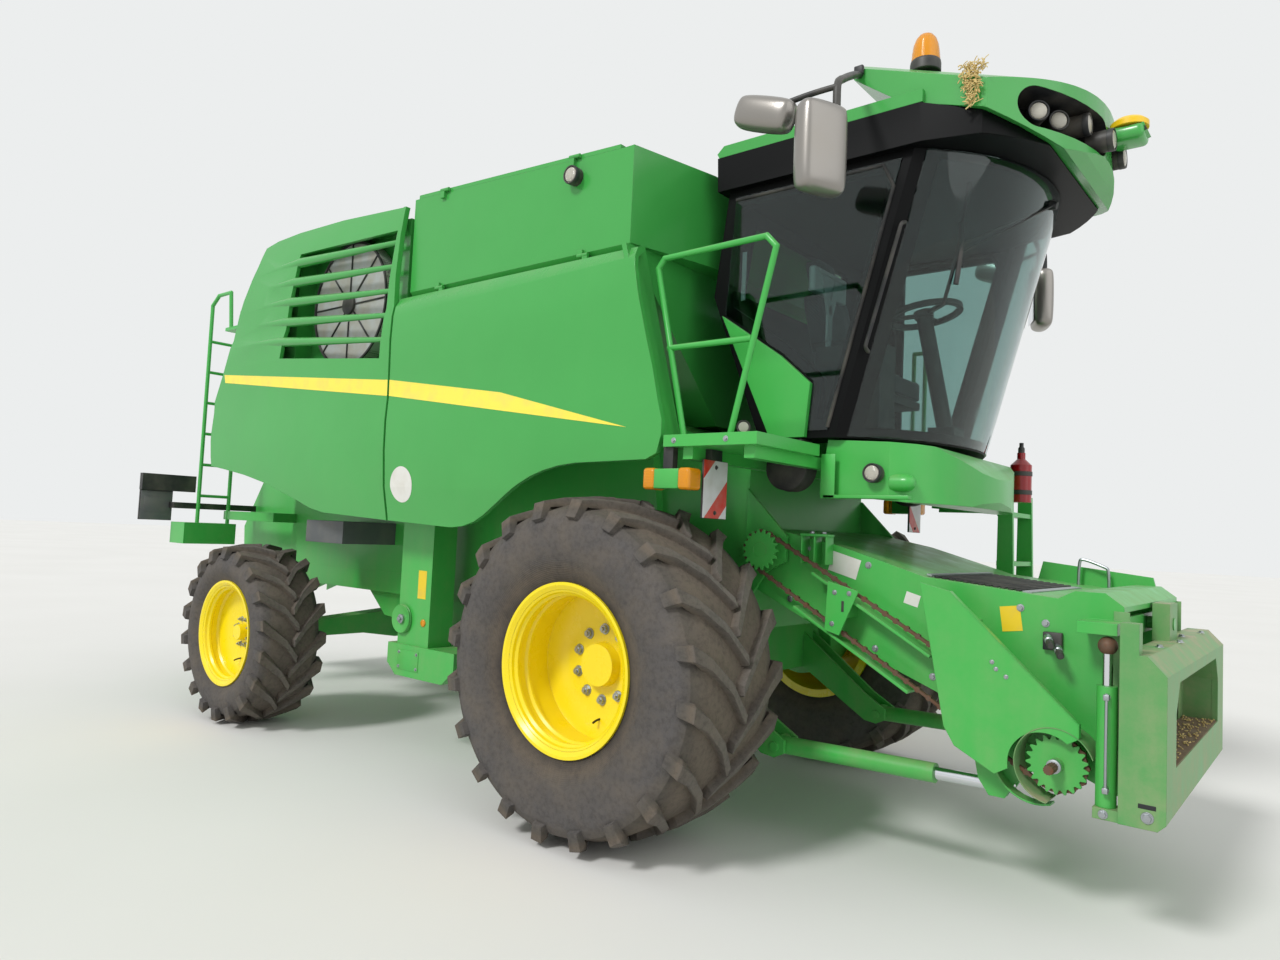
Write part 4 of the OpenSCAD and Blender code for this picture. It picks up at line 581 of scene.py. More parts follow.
def blank_films(white, yellow):
    """Bare labels: a round one on each front panel and small ones on the feeder house."""
    centre_x, centre_z, radius = -1.76, 1.868, 0.12
    angles = [math.tau * i / 32 for i in range(32)]
    outline = [(centre_x + radius * math.cos(a), centre_z + radius * math.sin(a)) for a in angles]
    for side, word in SIDES:
        mesh = bmesh.new()
        add_cut(mesh, f"panel_front_{word}", outline, side)
        piece(f"round_label_{word}", mesh, white, f"panel_front_{word}")
    # Each label: x and z of its middle, width, height, and degrees that its front edge is turned down
    for name, film, labels in (
            ("feeder_labels", white, ((1.067, 1.502, 0.165, 0.105, 15), (1.437, 1.355, 0.075, 0.06, 15))),
            ("feeder_caution_label", yellow, ((1.91, 1.307, 0.09, 0.115, -8),))):
        mesh = bmesh.new()
        for x, z, wide, high, nose_down in labels:
            place = Matrix.Translation(at(x, -FEEDER_HALF - 0.001, z))
            add_box(mesh, place @ Matrix.Rotation(math.radians(nose_down), 4, "Y"), (wide, 0.001, high))
        piece(name, mesh, film, "feeder")


def front_signs(hazard, amber, green, dark):
    """Striped boards beside the cab's steps, with a pair of amber lamps behind each."""
    for side, word in SIDES:
        mesh = bmesh.new()
        add_block(mesh, at(0.6352, side * 1.192, 1.712), at(0.638, side * 1.398, 2.003), 0.001)
        piece(f"hazard_board_{word}", mesh, hazard, "root")
        mesh = bmesh.new()
        for x in (0.335, 0.555):
            add_block(mesh, at(x, side * 1.405, 1.845), at(x + 0.075, side * 1.515, 1.955), 0.018, 4)
        piece(f"marker_lamps_{word}", mesh, amber, "root", smooth=40)
        mesh = bmesh.new()
        add_block(mesh, at(0.405, side * 1.41, 1.85), at(0.56, side * 1.51, 1.95), 0.006)
        piece(f"marker_lamp_holder_{word}", mesh, green, "root", smooth=40)
        mesh = bmesh.new()
        for z in (1.74, 1.97):
            add_bolt(mesh, at(0.6375, side * 1.295, z), (1, 0, 0), 0.008)
        piece(f"sign_bolts_{word}", mesh, dark, "root", smooth=35)


def rear_lights(hazard, red, amber, grey):
    """Rear light boards: striped sheets, each with a red lamp beside an amber one, and a grey plate
    that covers the wiring in front."""
    for side, word in SIDES:
        mesh = bmesh.new()
        add_block(mesh, at(-5.3295, side * 1.444, 1.534), at(-5.322, side * 1.716, 1.796), 0.003)
        add_block(mesh, at(-5.322, side * 1.474, 1.60), at(-5.318, side * 1.686, 1.74), 0.0015)
        piece(f"wiring_cover_{word}", mesh, grey, "root", smooth=40)
        mesh = bmesh.new()
        add_block(mesh, at(-5.353, side * 1.445, 1.535), at(-5.350, side * 1.715, 1.795), 0.001)
        piece(f"rear_hazard_board_{word}", mesh, hazard, "root")
        for name, colour, inner, outer in (("stop", red, 1.27, 1.47), ("turn", amber, 1.48, 1.70)):
            mesh = bmesh.new()
            add_block(mesh, at(-5.382, side * inner, 1.815), at(-5.359, side * outer, 1.935), 0.010, 3)
            piece(f"{name}_lamp_{word}", mesh, colour, "root", smooth=40)


# Wheels

def wheel_bolts(steel, dark):
    """Wheel nuts on washers round each hub, and the tyre valves."""
    # End, axle's x, half track, tyre radius, nuts, their circle's radius, hub face, nut radius
    wheels = [("front", 0.0, FRONT_TRACK / 2, FRONT_RADIUS, 10, 0.19, 0.015, 0.023),
              ("rear", -WHEEL_BASE, REAR_TRACK / 2, REAR_RADIUS, 8, 0.105, 0.06, 0.016)]
    for end, x, half_track, radius, count, circle, face, nut in wheels:
        stack = [(0.002, 0.004, 1.35 * nut, 1.25 * nut, 24), (0.013, 0.018, nut, 0.96 * nut, 6),
                 (0.028, 0.014, 0.5 * nut, 0.45 * nut, 12)]
        for side, word in SIDES:
            centre = at(x, side * (half_track + face), radius)
            out = Vector((0, side, 0))
            mesh = bmesh.new()
            for i in range(count):
                a = math.tau * (i + 0.5) / count
                add_stack(mesh, centre + circle * Vector((math.cos(a), 0, math.sin(a))), out, a, stack)
            piece(f"wheel_nuts_{end}_{word}", mesh, steel, f"wheel_{end}_{word}", smooth=35)
            mesh = bmesh.new()
            spot = centre + 0.02 * out - Vector((0, 0, circle + 0.1))
            add_tube(mesh, [spot - 0.03 * out, spot + 0.02 * out,
                            spot + 0.045 * out - Vector((0, 0, 0.015))], 0.006)
            piece(f"tyre_valve_{end}_{word}", mesh, dark, f"wheel_{end}_{word}", smooth=50)


# Cab

def cab_seals(rubber_trim):
    """Rubber channel that holds each side pane's front and top edges to the cab frame."""
    lean = math.tan(math.radians(15))
    low, top = 2.215, 3.545
    front_low, front_top = (1.005 + (z - 2.16) * lean for z in (low, top))
    mesh = bmesh.new()
    for side in (RIGHT, LEFT):
        y = side * (CAB_HALF + 0.002)
        route = [at(front_low, y, low), at(front_top, y, top), at(0.40, y, top)]
        add_tube(mesh, route, 0.011, rounded=False)
    piece("window_seals", mesh, rubber_trim, "root", smooth=50)


def wiper(dark):
    """Windscreen wiper: a pair of thin rods from the pivot under the visor to an upright blade."""
    top, middle, low = at(1.605, -0.515, 3.50), at(1.575, -0.555, 3.12), at(1.505, -0.575, 2.86)
    pivot = at(1.86, 0.02, 3.50)
    mesh = bmesh.new()
    add_turning(mesh, [(0, 0.035), (0.02, 0.035), (0.026, 0.01), (0.026, -0.03)], pivot,
                (0.97, 0, -0.26), 24)
    for apart in (0.0, 0.045):
        start = pivot + Vector((0.02, apart * 0.7, apart * 0.3))
        end = middle + Vector((0, 0, apart))
        add_tube(mesh, [start, start.lerp(end, 0.5) + Vector((0.06, -0.045, 0)), end], 0.006)
    add_tube(mesh, [top, middle, low], 0.010)
    add_tube(mesh, [middle + Vector((0.008, -0.004, 0.16)), middle + Vector((0.016, -0.008, 0)),
                    middle + Vector((-0.008, -0.012, -0.16))], 0.013)
    piece("wiper", mesh, dark, "root", smooth=50)


def cushion(name, low, high, crown, cloth, tilt=None):
    """A stitched foam cushion: a rounded block that swells towards its middle and pulls in at its edges.
    A tilt gives the hinge that it turns back on and the degrees."""
    mesh = bmesh.new()
    add_block(mesh, low, high)
    bmesh.ops.subdivide_edges(mesh, edges=mesh.edges[:], cuts=9, use_grid_fill=True)
    middle, half = (low + high) / 2, (high - low) / 2
    for vert in mesh.verts:
        share = [(vert.co[i] - middle[i]) / half[i] for i in range(3)]
        swell = (1 - share[0] ** 2) * (1 - share[1] ** 2)
        waist = 1 - 0.06 * (abs(share[0]) ** 6 + abs(share[1]) ** 6)
        seam = 0.012 * math.exp(-((abs(share[1]) - 0.62) / 0.05) ** 2)
        if share[2] > 0:
            vert.co.z += abs(crown * swell - seam)
        vert.co.x = middle.x + (vert.co.x - middle.x) * waist
        vert.co.y = middle.y + (vert.co.y - middle.y) * waist
    if tilt:
        hinge, degrees = tilt
        bmesh.ops.rotate(mesh, cent=hinge, matrix=Matrix.Rotation(math.radians(degrees), 3, "Y"),
                         verts=mesh.verts[:])
    made = piece(name, mesh, cloth, "root", smooth=180)
    rounding = made.modifiers.new("rounding", "SUBSURF")
    rounding.levels = rounding.render_levels = 1


def driver_seat(cloth, dark):
    """Suspended driver's seat in place of its plain solid: pedestal with bellows, pan and armrest, and a
    cushion, backrest and head rest."""
    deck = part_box("seat")[0][2]
    mesh = bmesh.new()
    add_block(mesh, at(0.72, -0.16, deck), at(0.98, 0.16, deck + 0.06), 0.008)
    for z in (0.09, 0.13, 0.17, 0.21):
        add_block(mesh, at(0.74, -0.15, deck + z - 0.02), at(0.96, 0.15, deck + z + 0.015), 0.014)
    add_block(mesh, at(0.66, -0.23, deck + 0.235), at(1.08, 0.23, deck + 0.285), 0.01)
    add_tube(mesh, [at(0.66, 0.20, deck + 0.30), at(0.56, 0.25, deck + 0.42),
                    at(0.56, 0.25, deck + 0.56)], 0.016)
    add_block(mesh, at(0.58, -0.26, deck + 0.565), at(1.02, -0.20, deck + 0.615), 0.02, 3)
    base = piece("seat_base", mesh, dark, "root", smooth=40)
    cushion("seat_cushion", at(0.62, -0.24, deck + 0.29), at(1.11, 0.24, deck + 0.39), 0.03, cloth)
    lean = (at(0.64, 0, deck + 0.40), 78)
    cushion("seat_back", at(0.06, -0.23, deck + 0.36), at(0.66, 0.23, deck + 0.46), 0.03, cloth, lean)
    cushion("head_rest", at(-0.16, -0.13, deck + 0.37), at(0.02, 0.13, deck + 0.45), 0.015, cloth, lean)
    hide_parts("seat")


def drive_lever(dark):
    """Lever and its grip by the seat, seen through the glass."""
    mesh = bmesh.new()
    add_tube(mesh, [at(1.02, -0.42, 2.70), at(1.06, -0.42, 2.80), at(1.08, -0.42, 2.90)], 0.012)
    grip = [(0, 0.10), (0.024, 0.09), (0.03, 0.05), (0.02, 0), (0, 0)]
    add_turning(mesh, grip, at(1.08, -0.42, 2.88), (0.2, 0, 1), 24)
    piece("drive_lever", mesh, dark, "root", smooth=50)


def monitor(pale, screen_glass):
    """Monitor that faces the seat, on the forked plate that carries it."""
    mesh = bmesh.new()
    add_block(mesh, at(0.716, -0.56, 3.045), at(0.762, -0.16, 3.195), 0.014, 3)
    add_block(mesh, at(0.762, -0.52, 3.160), at(0.775, -0.20, 3.182), 0.004)
    for y in (-0.46, -0.30):
        prong = [at(0.772, y + 0.03, 3.15), at(0.772, y - 0.03, 3.15),
                 at(0.772, -0.41, 2.93), at(0.772, -0.35, 2.93)]
        add_plate(mesh, prong, Vector((-0.012, 0, 0)))
    add_block(mesh, at(0.755, -0.41, 2.78), at(0.772, -0.35, 2.95), 0.006)
    add_tube(mesh, [at(0.763, -0.38, 2.79), at(0.763, -0.38, 2.62)], 0.016)
    piece("monitor_housing", mesh, pale, "root", smooth=40)
    mesh = bmesh.new()
    add_block(mesh, at(0.7135, -0.54, 3.06), at(0.7155, -0.18, 3.18), 0.0008)
    piece("monitor_screen", mesh, screen_glass, "root")


def grab_rail(dark):
    """Grab rail on the right front pillar of the cab, on two stand-offs."""
    low, high = at(1.235, -0.895, 2.60), at(1.410, -0.895, 3.215)
    mesh = bmesh.new()
    add_tube(mesh, [low + Vector((0, 0.043, -0.01)), low, low.lerp(high, 0.06), low.lerp(high, 0.94), high,
                    high + Vector((0, 0.043, 0.01))], 0.010)
    piece("grab_rail", mesh, dark, "root", smooth=50)


def pane_strip(pale):
    """Pale strip inside the rear edge of the right pane."""
    mesh = bmesh.new()
    add_block(mesh, at(0.445, -0.8355, 2.96), at(0.475, -0.8345, 3.24))
    piece("pane_strip", mesh, pale, "root")


def cab_dark_drums(rubber, dark):
    """Round black drums under the cab's sides, each with its bracket."""
    profile = [(0, 0), (0.100, 0), (0.124, 0.012), (0.118, 0.04), (0.126, 0.065), (0.118, 0.09),
               (0.122, 0.125), (0.10, 0.135), (0, 0.135)]
    # Black drums fill the dark round spot under each side of the cab; it is not known whether that spot is a
    # part or only shade.
    mounts, brackets = bmesh.new(), bmesh.new()
    for side in (RIGHT, LEFT):
        add_turning(mounts, profile, at(0.79, side * 0.738, 2.005), (0, side, 0), 48)
        add_block(brackets, at(0.70, side * 0.745, 2.118), at(0.88, side * 0.865, 2.158), 0.004)
    piece("cab_dark_drums", mounts, rubber, "root", smooth=50)
    piece("cab_drum_brackets", brackets, dark, "root", smooth=40)


def console_relief(paint):
    """A blister beside each console lamp and the tray that the console sits in."""
    blister = [(0, 0.12), (0.020, 0.116), (0.034, 0.103), (0.043, 0.082), (0.045, 0.055), (0.045, 0), (0, 0)]
    mesh = bmesh.new()
    for side in (RIGHT, LEFT):
        add_turning(mesh, blister, at(1.345, side * 0.765, 1.930), (1, 0, 0), 32)
        add_block(mesh, at(1.00, side * 0.790, 1.846), at(1.46, side * 0.842, 1.864), 0.003)
        add_block(mesh, at(0.985, side * 0.836, 1.846), at(1.065, side * 0.842, 2.075), 0.002)
    piece("console_relief", mesh, paint, "root", smooth=40)


def extinguisher_straps(dark):
    """Two straps round the extinguisher's bottle, and the valve on its top."""
    x, y = 1.47, 0.95
    mesh = bmesh.new()
    for z in (1.975, 2.095):
        add_turning(mesh, [(0.0653, 0), (0.0685, 0), (0.0685, 0.028), (0.0653, 0.028), (0.0653, 0)],
                    at(x, y, z), (0, 0, 1), 48)
    valve = [(0, 0), (0.020, 0), (0.020, 0.03), (0.013, 0.04), (0.013, 0.065), (0, 0.065)]
    add_turning(mesh, valve, at(x, y, 2.2452), (0, 0, 1), 24)
    piece("extinguisher_straps", mesh, dark, "root", smooth=40)


def deck_bolts(bright):
    """Bolts that hold the rail's feet along the platforms' outer edges."""
    mesh = bmesh.new()
    for side, edge, places in ((RIGHT, 1.5, (0.515, 0.825)), (LEFT, 1.62, (0.50, 0.85, 1.20))):
        for x in places:
            add_bolt(mesh, at(x, side * edge, 2.09), (0, side, 0), 0.010)
    piece("deck_bolts", mesh, bright, "root", smooth=35)


# Roof, mirrors and lamps

def visor_recess_painted_shade(dark):
    """Painted shade inside both lamp recesses of the visor: a black film laid on the recess's own wall."""
    low_y, high_y, height, radius = 0.15, 0.64, 3.75, 0.10
    mesh = bmesh.new()
    mesh.from_mesh(nodes["roof_visor"].data)
    bmesh.ops.remove_doubles(mesh, verts=mesh.verts, dist=0.0001)
    away = []
    for face in mesh.faces:
        on_wall = all(abs(math.hypot(abs(v.co.y) - min(max(abs(v.co.y), low_y), high_y), v.co.z - height)
                          - radius) < 0.003 for v in face.verts)
        if not on_wall or abs(face.normal.x) > 0.05:
            away.append(face)
    bmesh.ops.delete(mesh, geom=away, context="FACES")
    lifts = {vert: sum((face.normal for face in vert.link_faces), Vector()).normalized()
             for vert in mesh.verts}
    for vert, lift in lifts.items():
        vert.co += FILM * lift
    # The black film is painted shade: it darkens the recess walls where shade falls.
    piece("visor_recess_painted_shade", mesh, dark, "root", smooth=50)


def smooth_mirrors(shell, arm, silvered):
    """The mirrors as they are moulded: rounded shells on bent round arms, with the glass behind."""
    # The arm after its foot and the branch to the wide mirror: x from the mirror's middle, y outwards, z
    arm_route = ((-0.03, 1.22, 3.855), (0.0, 1.33, 3.785), (0.02, 1.40, 3.745), (0.03, 1.435, 3.70),
                 (0.033, 1.44, 3.64), (0.034, 1.44, 3.55))
    branch_route = ((0.03, 1.44, 3.695), (-0.10, 1.47, 3.685), (-0.25, 1.50, 3.65))
    shells, arms, glasses = bmesh.new(), bmesh.new(), bmesh.new()
    for side, x in ((RIGHT, 1.285), (LEFT, 1.425)):
        turn = Matrix.Rotation(math.radians(side * 25), 4, "Z")
        main = Matrix.Translation(at(x, side * 1.515, 3.385)) @ turn
        add_shell(shells, main, (0.070, 0.130, 0.215))
        add_box(glasses, main @ Matrix.Translation((-0.068, 0, 0)), (0.006, 0.176, 0.330), 0.002)
        nose_down = Matrix.Rotation(math.radians(20), 4, "Y")
        wide = Matrix.Translation(at(x - 0.30, side * 1.51, 3.625)) @ nose_down
        add_shell(shells, wide, (0.165, 0.070, 0.085))
        foot = [at(1.155, side * 0.885, 4.045), at(1.165, side * 0.95, 4.015)]
        add_tube(arms, foot + [at(x + dx, side * y, z) for dx, y, z in arm_route], 0.019)
        add_tube(arms, [at(x + dx, side * y, z) for dx, y, z in branch_route], 0.014)
        add_block(arms, at(1.13, side * 0.882, 4.038), at(1.18, side * 0.906, 4.087), 0.006)
    made = piece("mirror_shells", shells, shell, "root", smooth=180)
    rounding = made.modifiers.new("rounding", "SUBSURF")
    rounding.levels = rounding.render_levels = 2
    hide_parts("mirrors")
    piece("mirror_arms", arms, arm, "root", smooth=50)
    piece("mirror_glasses", glasses, silvered, "root")


def add_shell(mesh, place, half):
    """A rounded housing: a block whose edges are loosely bevelled, for a subdivision to round."""
    add_box(mesh, place, [2 * extent for extent in half], 0.8 * min(half))


def lamp_fronts(shell, reflector, clear):
    """Reflector, clear cover and bezel on the front of every work lamp."""
    # Visor lamps, alike on both sides: x, y and z of the body's middle, degrees outwards, width, length
    visor_lamps = ((1.93, 0.55, 3.755, 55, 0.10, 0.08), (1.975, 0.375, 3.765, 50, 0.10, 0.08),
                   (2.04, 0.24, 3.785, 0, 0.11, 0.12), (2.13, 0.13, 3.725, 0, 0.11, 0.12))
    fronts = []
    for side in (RIGHT, LEFT):
        for x, y, z, turn, width, length in visor_lamps:
            a = math.radians(turn)
            out = Vector((math.cos(a), side * math.sin(a), 0))
            fronts.append((at(x, side * y, z) + out * length / 2, out, width))
        fronts.append((at(1.27, side * 0.845, 1.975), Vector((0, side, 0)), 0.095))
    fronts.append((at(-0.35, -1.45, 3.66), Vector((0, -1, 0)), 0.105))
    fronts.append((STEP_LAMP, STEP_LAMP_AIM, 0.074))
    bezels, reflectors, covers = bmesh.new(), bmesh.new(), bmesh.new()
    for place, out, width in fronts:
        r = width / 2
        rim = r - 0.009
        add_turning(bezels, [(r - 0.008, 0.001), (r - 0.006, 0.008), (r, 0.009), (r + 0.002, 0.004),
                             (r + 0.002, -0.02), (r + 0.0005, -0.02)], place, out, 40)
        add_turning(reflectors, [(0, 0.0012), (rim, 0.0012)], place, out, 40)
        add_turning(covers, [(0, 0.013), (r * 0.4, 0.012), (r * 0.75, 0.008), (rim, 0.003), (rim, 0.0016),
                             (0, 0.0016)], place, out, 40)
    piece("lamp_bezels", bezels, shell, "root", smooth=35)
    piece("lamp_reflectors", reflectors, reflector, "root")
    piece("lamp_covers", covers, clear, "root", smooth=50)


def step_lamp(dark):
    """Body and stem of the small lamp by the platform's rail."""
    body = [(0, -0.055), (0.02, -0.055), (0.034, -0.035), (0.038, -0.012), (0.038, 0.0), (0, 0.0)]
    mesh = bmesh.new()
    add_turning(mesh, body, STEP_LAMP, STEP_LAMP_AIM, 32)
    add_block(mesh, at(0.545, -0.935, 2.119), at(0.567, -0.915, 2.20), 0.004)
    piece("step_lamp", mesh, dark, "root", smooth=45)


def beacon_light(amber, dark):
    """The turned amber hood of the beacon, a little narrower to the top, on its dark base."""
    place, up = at(1.39, -0.60, 4.1053), (0, 0, 1)
    hood = [(0.0, 0.055), (0.0735, 0.055), (0.0735, 0.066), (0.0700, 0.110), (0.0640, 0.150),
            (0.0530, 0.182), (0.0370, 0.203), (0.0180, 0.213), (0.0, 0.2145)]
    base = [(0.0, 0.0), (0.0755, 0.0), (0.079, 0.004), (0.079, 0.046), (0.0765, 0.060), (0.0742, 0.062),
            (0.0742, 0.057), (0.0, 0.057)]
    mesh = bmesh.new()
    add_turning(mesh, hood, place, up, 64)
    made = piece("beacon_hood", mesh, amber, "root", smooth=60)
    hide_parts("beacon")
    mesh = bmesh.new()
    add_turning(mesh, base, place, up, 64)
    piece("beacon_base", mesh, dark, "root", smooth=40)


def receiver_neck(paint):
    """Rounded neck of the visor under the receiver dome."""
    mesh = bmesh.new()
    add_block(mesh, at(2.155, -0.082, 3.735), at(2.318, 0.082, 3.8135), 0.028, 4)
    piece("receiver_neck", mesh, paint, "root", smooth=60)


def straw_wisp(straw):
    """Stalks of straw caught on the visor's near corner, fewer and closer together further down."""
    grains = random.Random(7)
    mesh = bmesh.new()
    for _ in range(240):
        down = grains.uniform(0, 1) ** 1.5
        wide = 0.055 * (1 - 0.6 * down)
        start = at(1.735, -0.874, 3.925) + Vector((
            grains.uniform(-wide, wide), grains.uniform(-0.024, 0.008),
            -0.19 * down + grains.uniform(-0.012, 0.012)))
        lean = Vector((grains.uniform(-0.8, 0.6), grains.uniform(-0.6, 0.2), grains.uniform(-1.0, 0.3)))
        end = start + lean.normalized() * grains.uniform(0.012, 0.04)
        bend = start.lerp(end, 0.5) + Vector((grains.uniform(-0.01, 0.01), -0.004,
                                             grains.uniform(-0.01, 0.01)))
        add_tube(mesh, [start, bend, end], grains.uniform(0.0015, 0.0034))
    piece("straw_wisp", mesh, straw, "root", smooth=60)


# Sides and engine screen

def screen_spokes(dark):
    """Spokes, hub and rim of the rotary screen."""
    centre, out = at(-2.72, -1.353, 3.23), (0, -1, 0)
    mesh = bmesh.new()
    for i in range(8):
        a = math.tau * i / 8
        along = Vector((math.cos(a), 0, math.sin(a)))
        add_tube(mesh, [centre + 0.05 * along, centre + 0.465 * along], 0.007, rounded=False)
    add_turning(mesh, [(0.075, 0.0), (0.075, 0.018), (0.05, 0.024), (0.0, 0.024)], centre, out, 40)
    rim = [(0.478, -0.004), (0.478, 0.010), (0.462, 0.010), (0.462, -0.004)]
    add_turning(mesh, rim, centre, out, 72)
    piece("screen_spokes", mesh, dark, "screen", smooth=45)


def elevator_trim(yellow, amber, green, bright):
    """Blank labels and reflectors on the elevator legs, the boots' hatches, and the drive pulleys."""
    face, hatch_face = 1.1602, 1.1835
    reflector = [(0, 0.008), (0.022, 0.008), (0.026, 0.004), (0.026, 0)]
    pulley = [(0, 0.004), (0.070, 0.004), (0.090, 0.002), (0.098, 0.0), (0.102, 0.006), (0.094, 0.014),
              (0.102, 0.022), (0.098, 0.028), (0.085, 0.024), (0.045, 0.012), (0, 0.012)]
    hub = [(0, 0.045), (0.014, 0.045), (0.017, 0.040), (0.017, 0.030), (0.032, 0.028), (0.032, 0.010),
           (0, 0.010)]
    labels, reflectors, pulleys, hubs, hatches = (bmesh.new() for _ in range(5))
    for side in (RIGHT, LEFT):
        out = (0, side, 0)
        add_block(labels, at(-1.935, side * face, 1.09), at(-1.845, side * 1.1615, 1.285))
        add_turning(reflectors, reflector, at(-1.855, side * face, 0.925), out, 32)
        axle = at(-2.085, side * 1.1605, 0.935)
        add_turning(pulleys, pulley, axle, out, 56)
        add_turning(hubs, hub, axle, out, 32)
        add_block(hatches, at(-2.10, side * 1.1801, 0.585), at(-1.86, side * hatch_face, 0.725), 0.0012)
        for x in (-2.08, -1.88):
            for z in (0.605, 0.705):
                add_bolt(hubs, at(x, side * hatch_face, z), out, 0.008)
    piece("elevator_labels", labels, yellow, "root")
    piece("elevator_reflectors", reflectors, amber, "root", smooth=50)
    piece("elevator_pulleys", pulleys, green, "root", smooth=40)
    piece("elevator_hubs", hubs, bright, "root", smooth=35)
    piece("boot_hatches", hatches, green, "root", smooth=40)


# Feeder house and tilting frame

def feeder_mat(rubber):
    """Ribbed rubber mat on the feeder house's top."""
    (x1, z1), (x2, z2) = (1.52, 1.4715), (1.94, 1.4355)
    pitch = 0.036
    count = round((x2 - x1) / pitch)
    fall = Matrix.Rotation(-math.atan2(z2 - z1, x2 - x1), 4, "Y")
    mesh = bmesh.new()
    for i in range(count):
        t = (i + 0.5) / count
        place = Matrix.Translation(at(x1 + (x2 - x1) * t, -0.18, z1 + (z2 - z1) * t))
        add_box(mesh, place @ fall, (0.022, 0.94, 0.012), 0.004)
    piece("feeder_mat", mesh, rubber, "feeder", smooth=40)


def feeder_trim(bright):
    """Strips that hold the mat, the handle beside it, and bolts on the feeder house's right side."""
    mesh = bmesh.new()
    mat_edge, mat_width = 0.295, 0.95
    for (x1, z1), (x2, z2) in (((1.945, 1.437), (1.985, 1.433)), ((1.490, 1.478), (1.515, 1.474))):
        add_strip(mesh, [at(x1, mat_edge, z1), at(x2, mat_edge, z2)], Vector((0, -mat_width, 0)), 0.008)
    handle = ((1.89, 1.42), (1.89, 1.57), (1.91, 1.59), (2.03, 1.545), (2.05, 1.53), (2.05, 1.41))
    add_tube(mesh, [at(x, 0.64, z) for x, z in handle], 0.009)
    piece("mat_edges_and_handle", mesh, bright, "feeder", smooth=40)
    mesh = bmesh.new()
    # Along the side plate's lower flange, then along its upper one
    for x, z in ((0.75, 1.30), (1.00, 1.20), (1.25, 1.09), (1.55, 0.99), (1.85, 0.865), (2.10, 0.76),
                 (0.85, 1.58), (1.20, 1.51), (1.95, 1.36), (2.06, 1.30)):
        add_bolt(mesh, at(x, -FEEDER_HALF, z), (0, -1, 0), 0.012)
    piece("side_plate_bolts", mesh, bright, "feeder", smooth=35)


def drive_fasteners(bright, dark, paint):
    """Bolts on the chain shield, the tensioner plate and the stop block, the plate's slot, and the folded
    edges of the shield."""
    outward = (0, -1, 0)
    mesh = bmesh.new()
    for x, z in ((1.881, 1.119), (1.899, 1.090), (1.943, 1.061)):
        add_bolt(mesh, at(x, -0.870, z), outward, 0.007)
    for x, z in ((1.075, 1.205), (1.165, 1.365), (1.085, 1.365)):
        add_bolt(mesh, at(x, -0.840, z), outward, 0.009)
    for x in (0.895, 0.965):
        add_bolt(mesh, at(x, -0.742, 1.660), (0, 0, 1), 0.012)
    hub = [(0.030, 0), (0.030, 0.022), (0.018, 0.026), (0, 0.026)]
    add_turning(mesh, hub, at(SPROCKET_X, -0.851, SPROCKET_Z), outward, 32)
    piece("drive_bolts", mesh, bright, "feeder", smooth=35)
    mesh = bmesh.new()
    add_block(mesh, at(1.125, -0.8415, 1.27), at(1.139, -0.8395, 1.325), 0.0008)
    piece("tensioner_slot", mesh, dark, "feeder")
    mesh = bmesh.new()
    add_block(mesh, at(0.845, -0.785, 1.645), at(1.005, -0.700, 1.660), 0.003)
    for x in (0.85, 0.925, 0.993):
        add_block(mesh, at(x, -0.783, 1.50), at(x + 0.008, -0.7005, 1.648), 0.002)
    fold = [at(x, -0.8715, z) for x, z in ((1.684, 1.420), (2.243, 0.902), (2.243, 0.845))]
    add_strip(mesh, fold, Vector((0, 0.0335, 0)), 0.003)
    piece("drive_flanges", mesh, paint, "feeder", smooth=40)


def sprocket_guard(dust_paint):
    """Curved guard round the lower chain sprocket."""
    radius, outer_edge, width = 0.164, -0.872, 0.167
    angles = [math.radians(a) for a in range(20, 265, 6)]
    route = [at(SPROCKET_X + radius * math.cos(a), outer_edge, SPROCKET_Z + radius * math.sin(a))
             for a in angles]
    mesh = bmesh.new()
    add_strip(mesh, route, Vector((0, width, 0)), 0.004)
    piece("sprocket_guard", mesh, dust_paint, "feeder", smooth=40)


def drive_shaft_end(rusty):
    """Rusty splined shaft end that stands out of the lower sprocket."""
    outline = []
    for i in range(24):
        a = math.tau * i / 24
        radius = 0.0215 if i % 2 else 0.0185
        outline.append(at(SPROCKET_X + radius * math.cos(a), -0.955, SPROCKET_Z + radius * math.sin(a)))
    mesh = bmesh.new()
    add_plate(mesh, outline, Vector((0, 0.079, 0)))
    piece("drive_shaft_end", mesh, rusty, "feeder", smooth=30)


def couplers(bright, dark):
    """Pair of oil couplers with their caps, on a block on the feeder house's side."""
    out = (0.35, -0.9, -0.25)
    body = [(0, 0.085), (0.010, 0.085), (0.013, 0.078), (0.013, 0.060), (0.018, 0.056), (0.018, 0.020),
            (0.014, 0.016), (0.014, 0), (0, 0)]
    cap = [(0, 0.125), (0.012, 0.125), (0.016, 0.115), (0.016, 0.078), (0, 0.078)]
    bodies, caps = bmesh.new(), bmesh.new()
    add_block(caps, at(2.055, -0.728, 1.185), at(2.135, -0.7005, 1.265), 0.004)
    for x, z in ((2.075, 1.245), (2.115, 1.205)):
        add_turning(bodies, body, at(x, -0.728, z), out, 28)
        add_turning(caps, cap, at(x, -0.728, z), out, 28)
    piece("coupler_bodies", bodies, bright, "feeder", smooth=40)
    piece("coupler_block", caps, dark, "feeder", smooth=40)


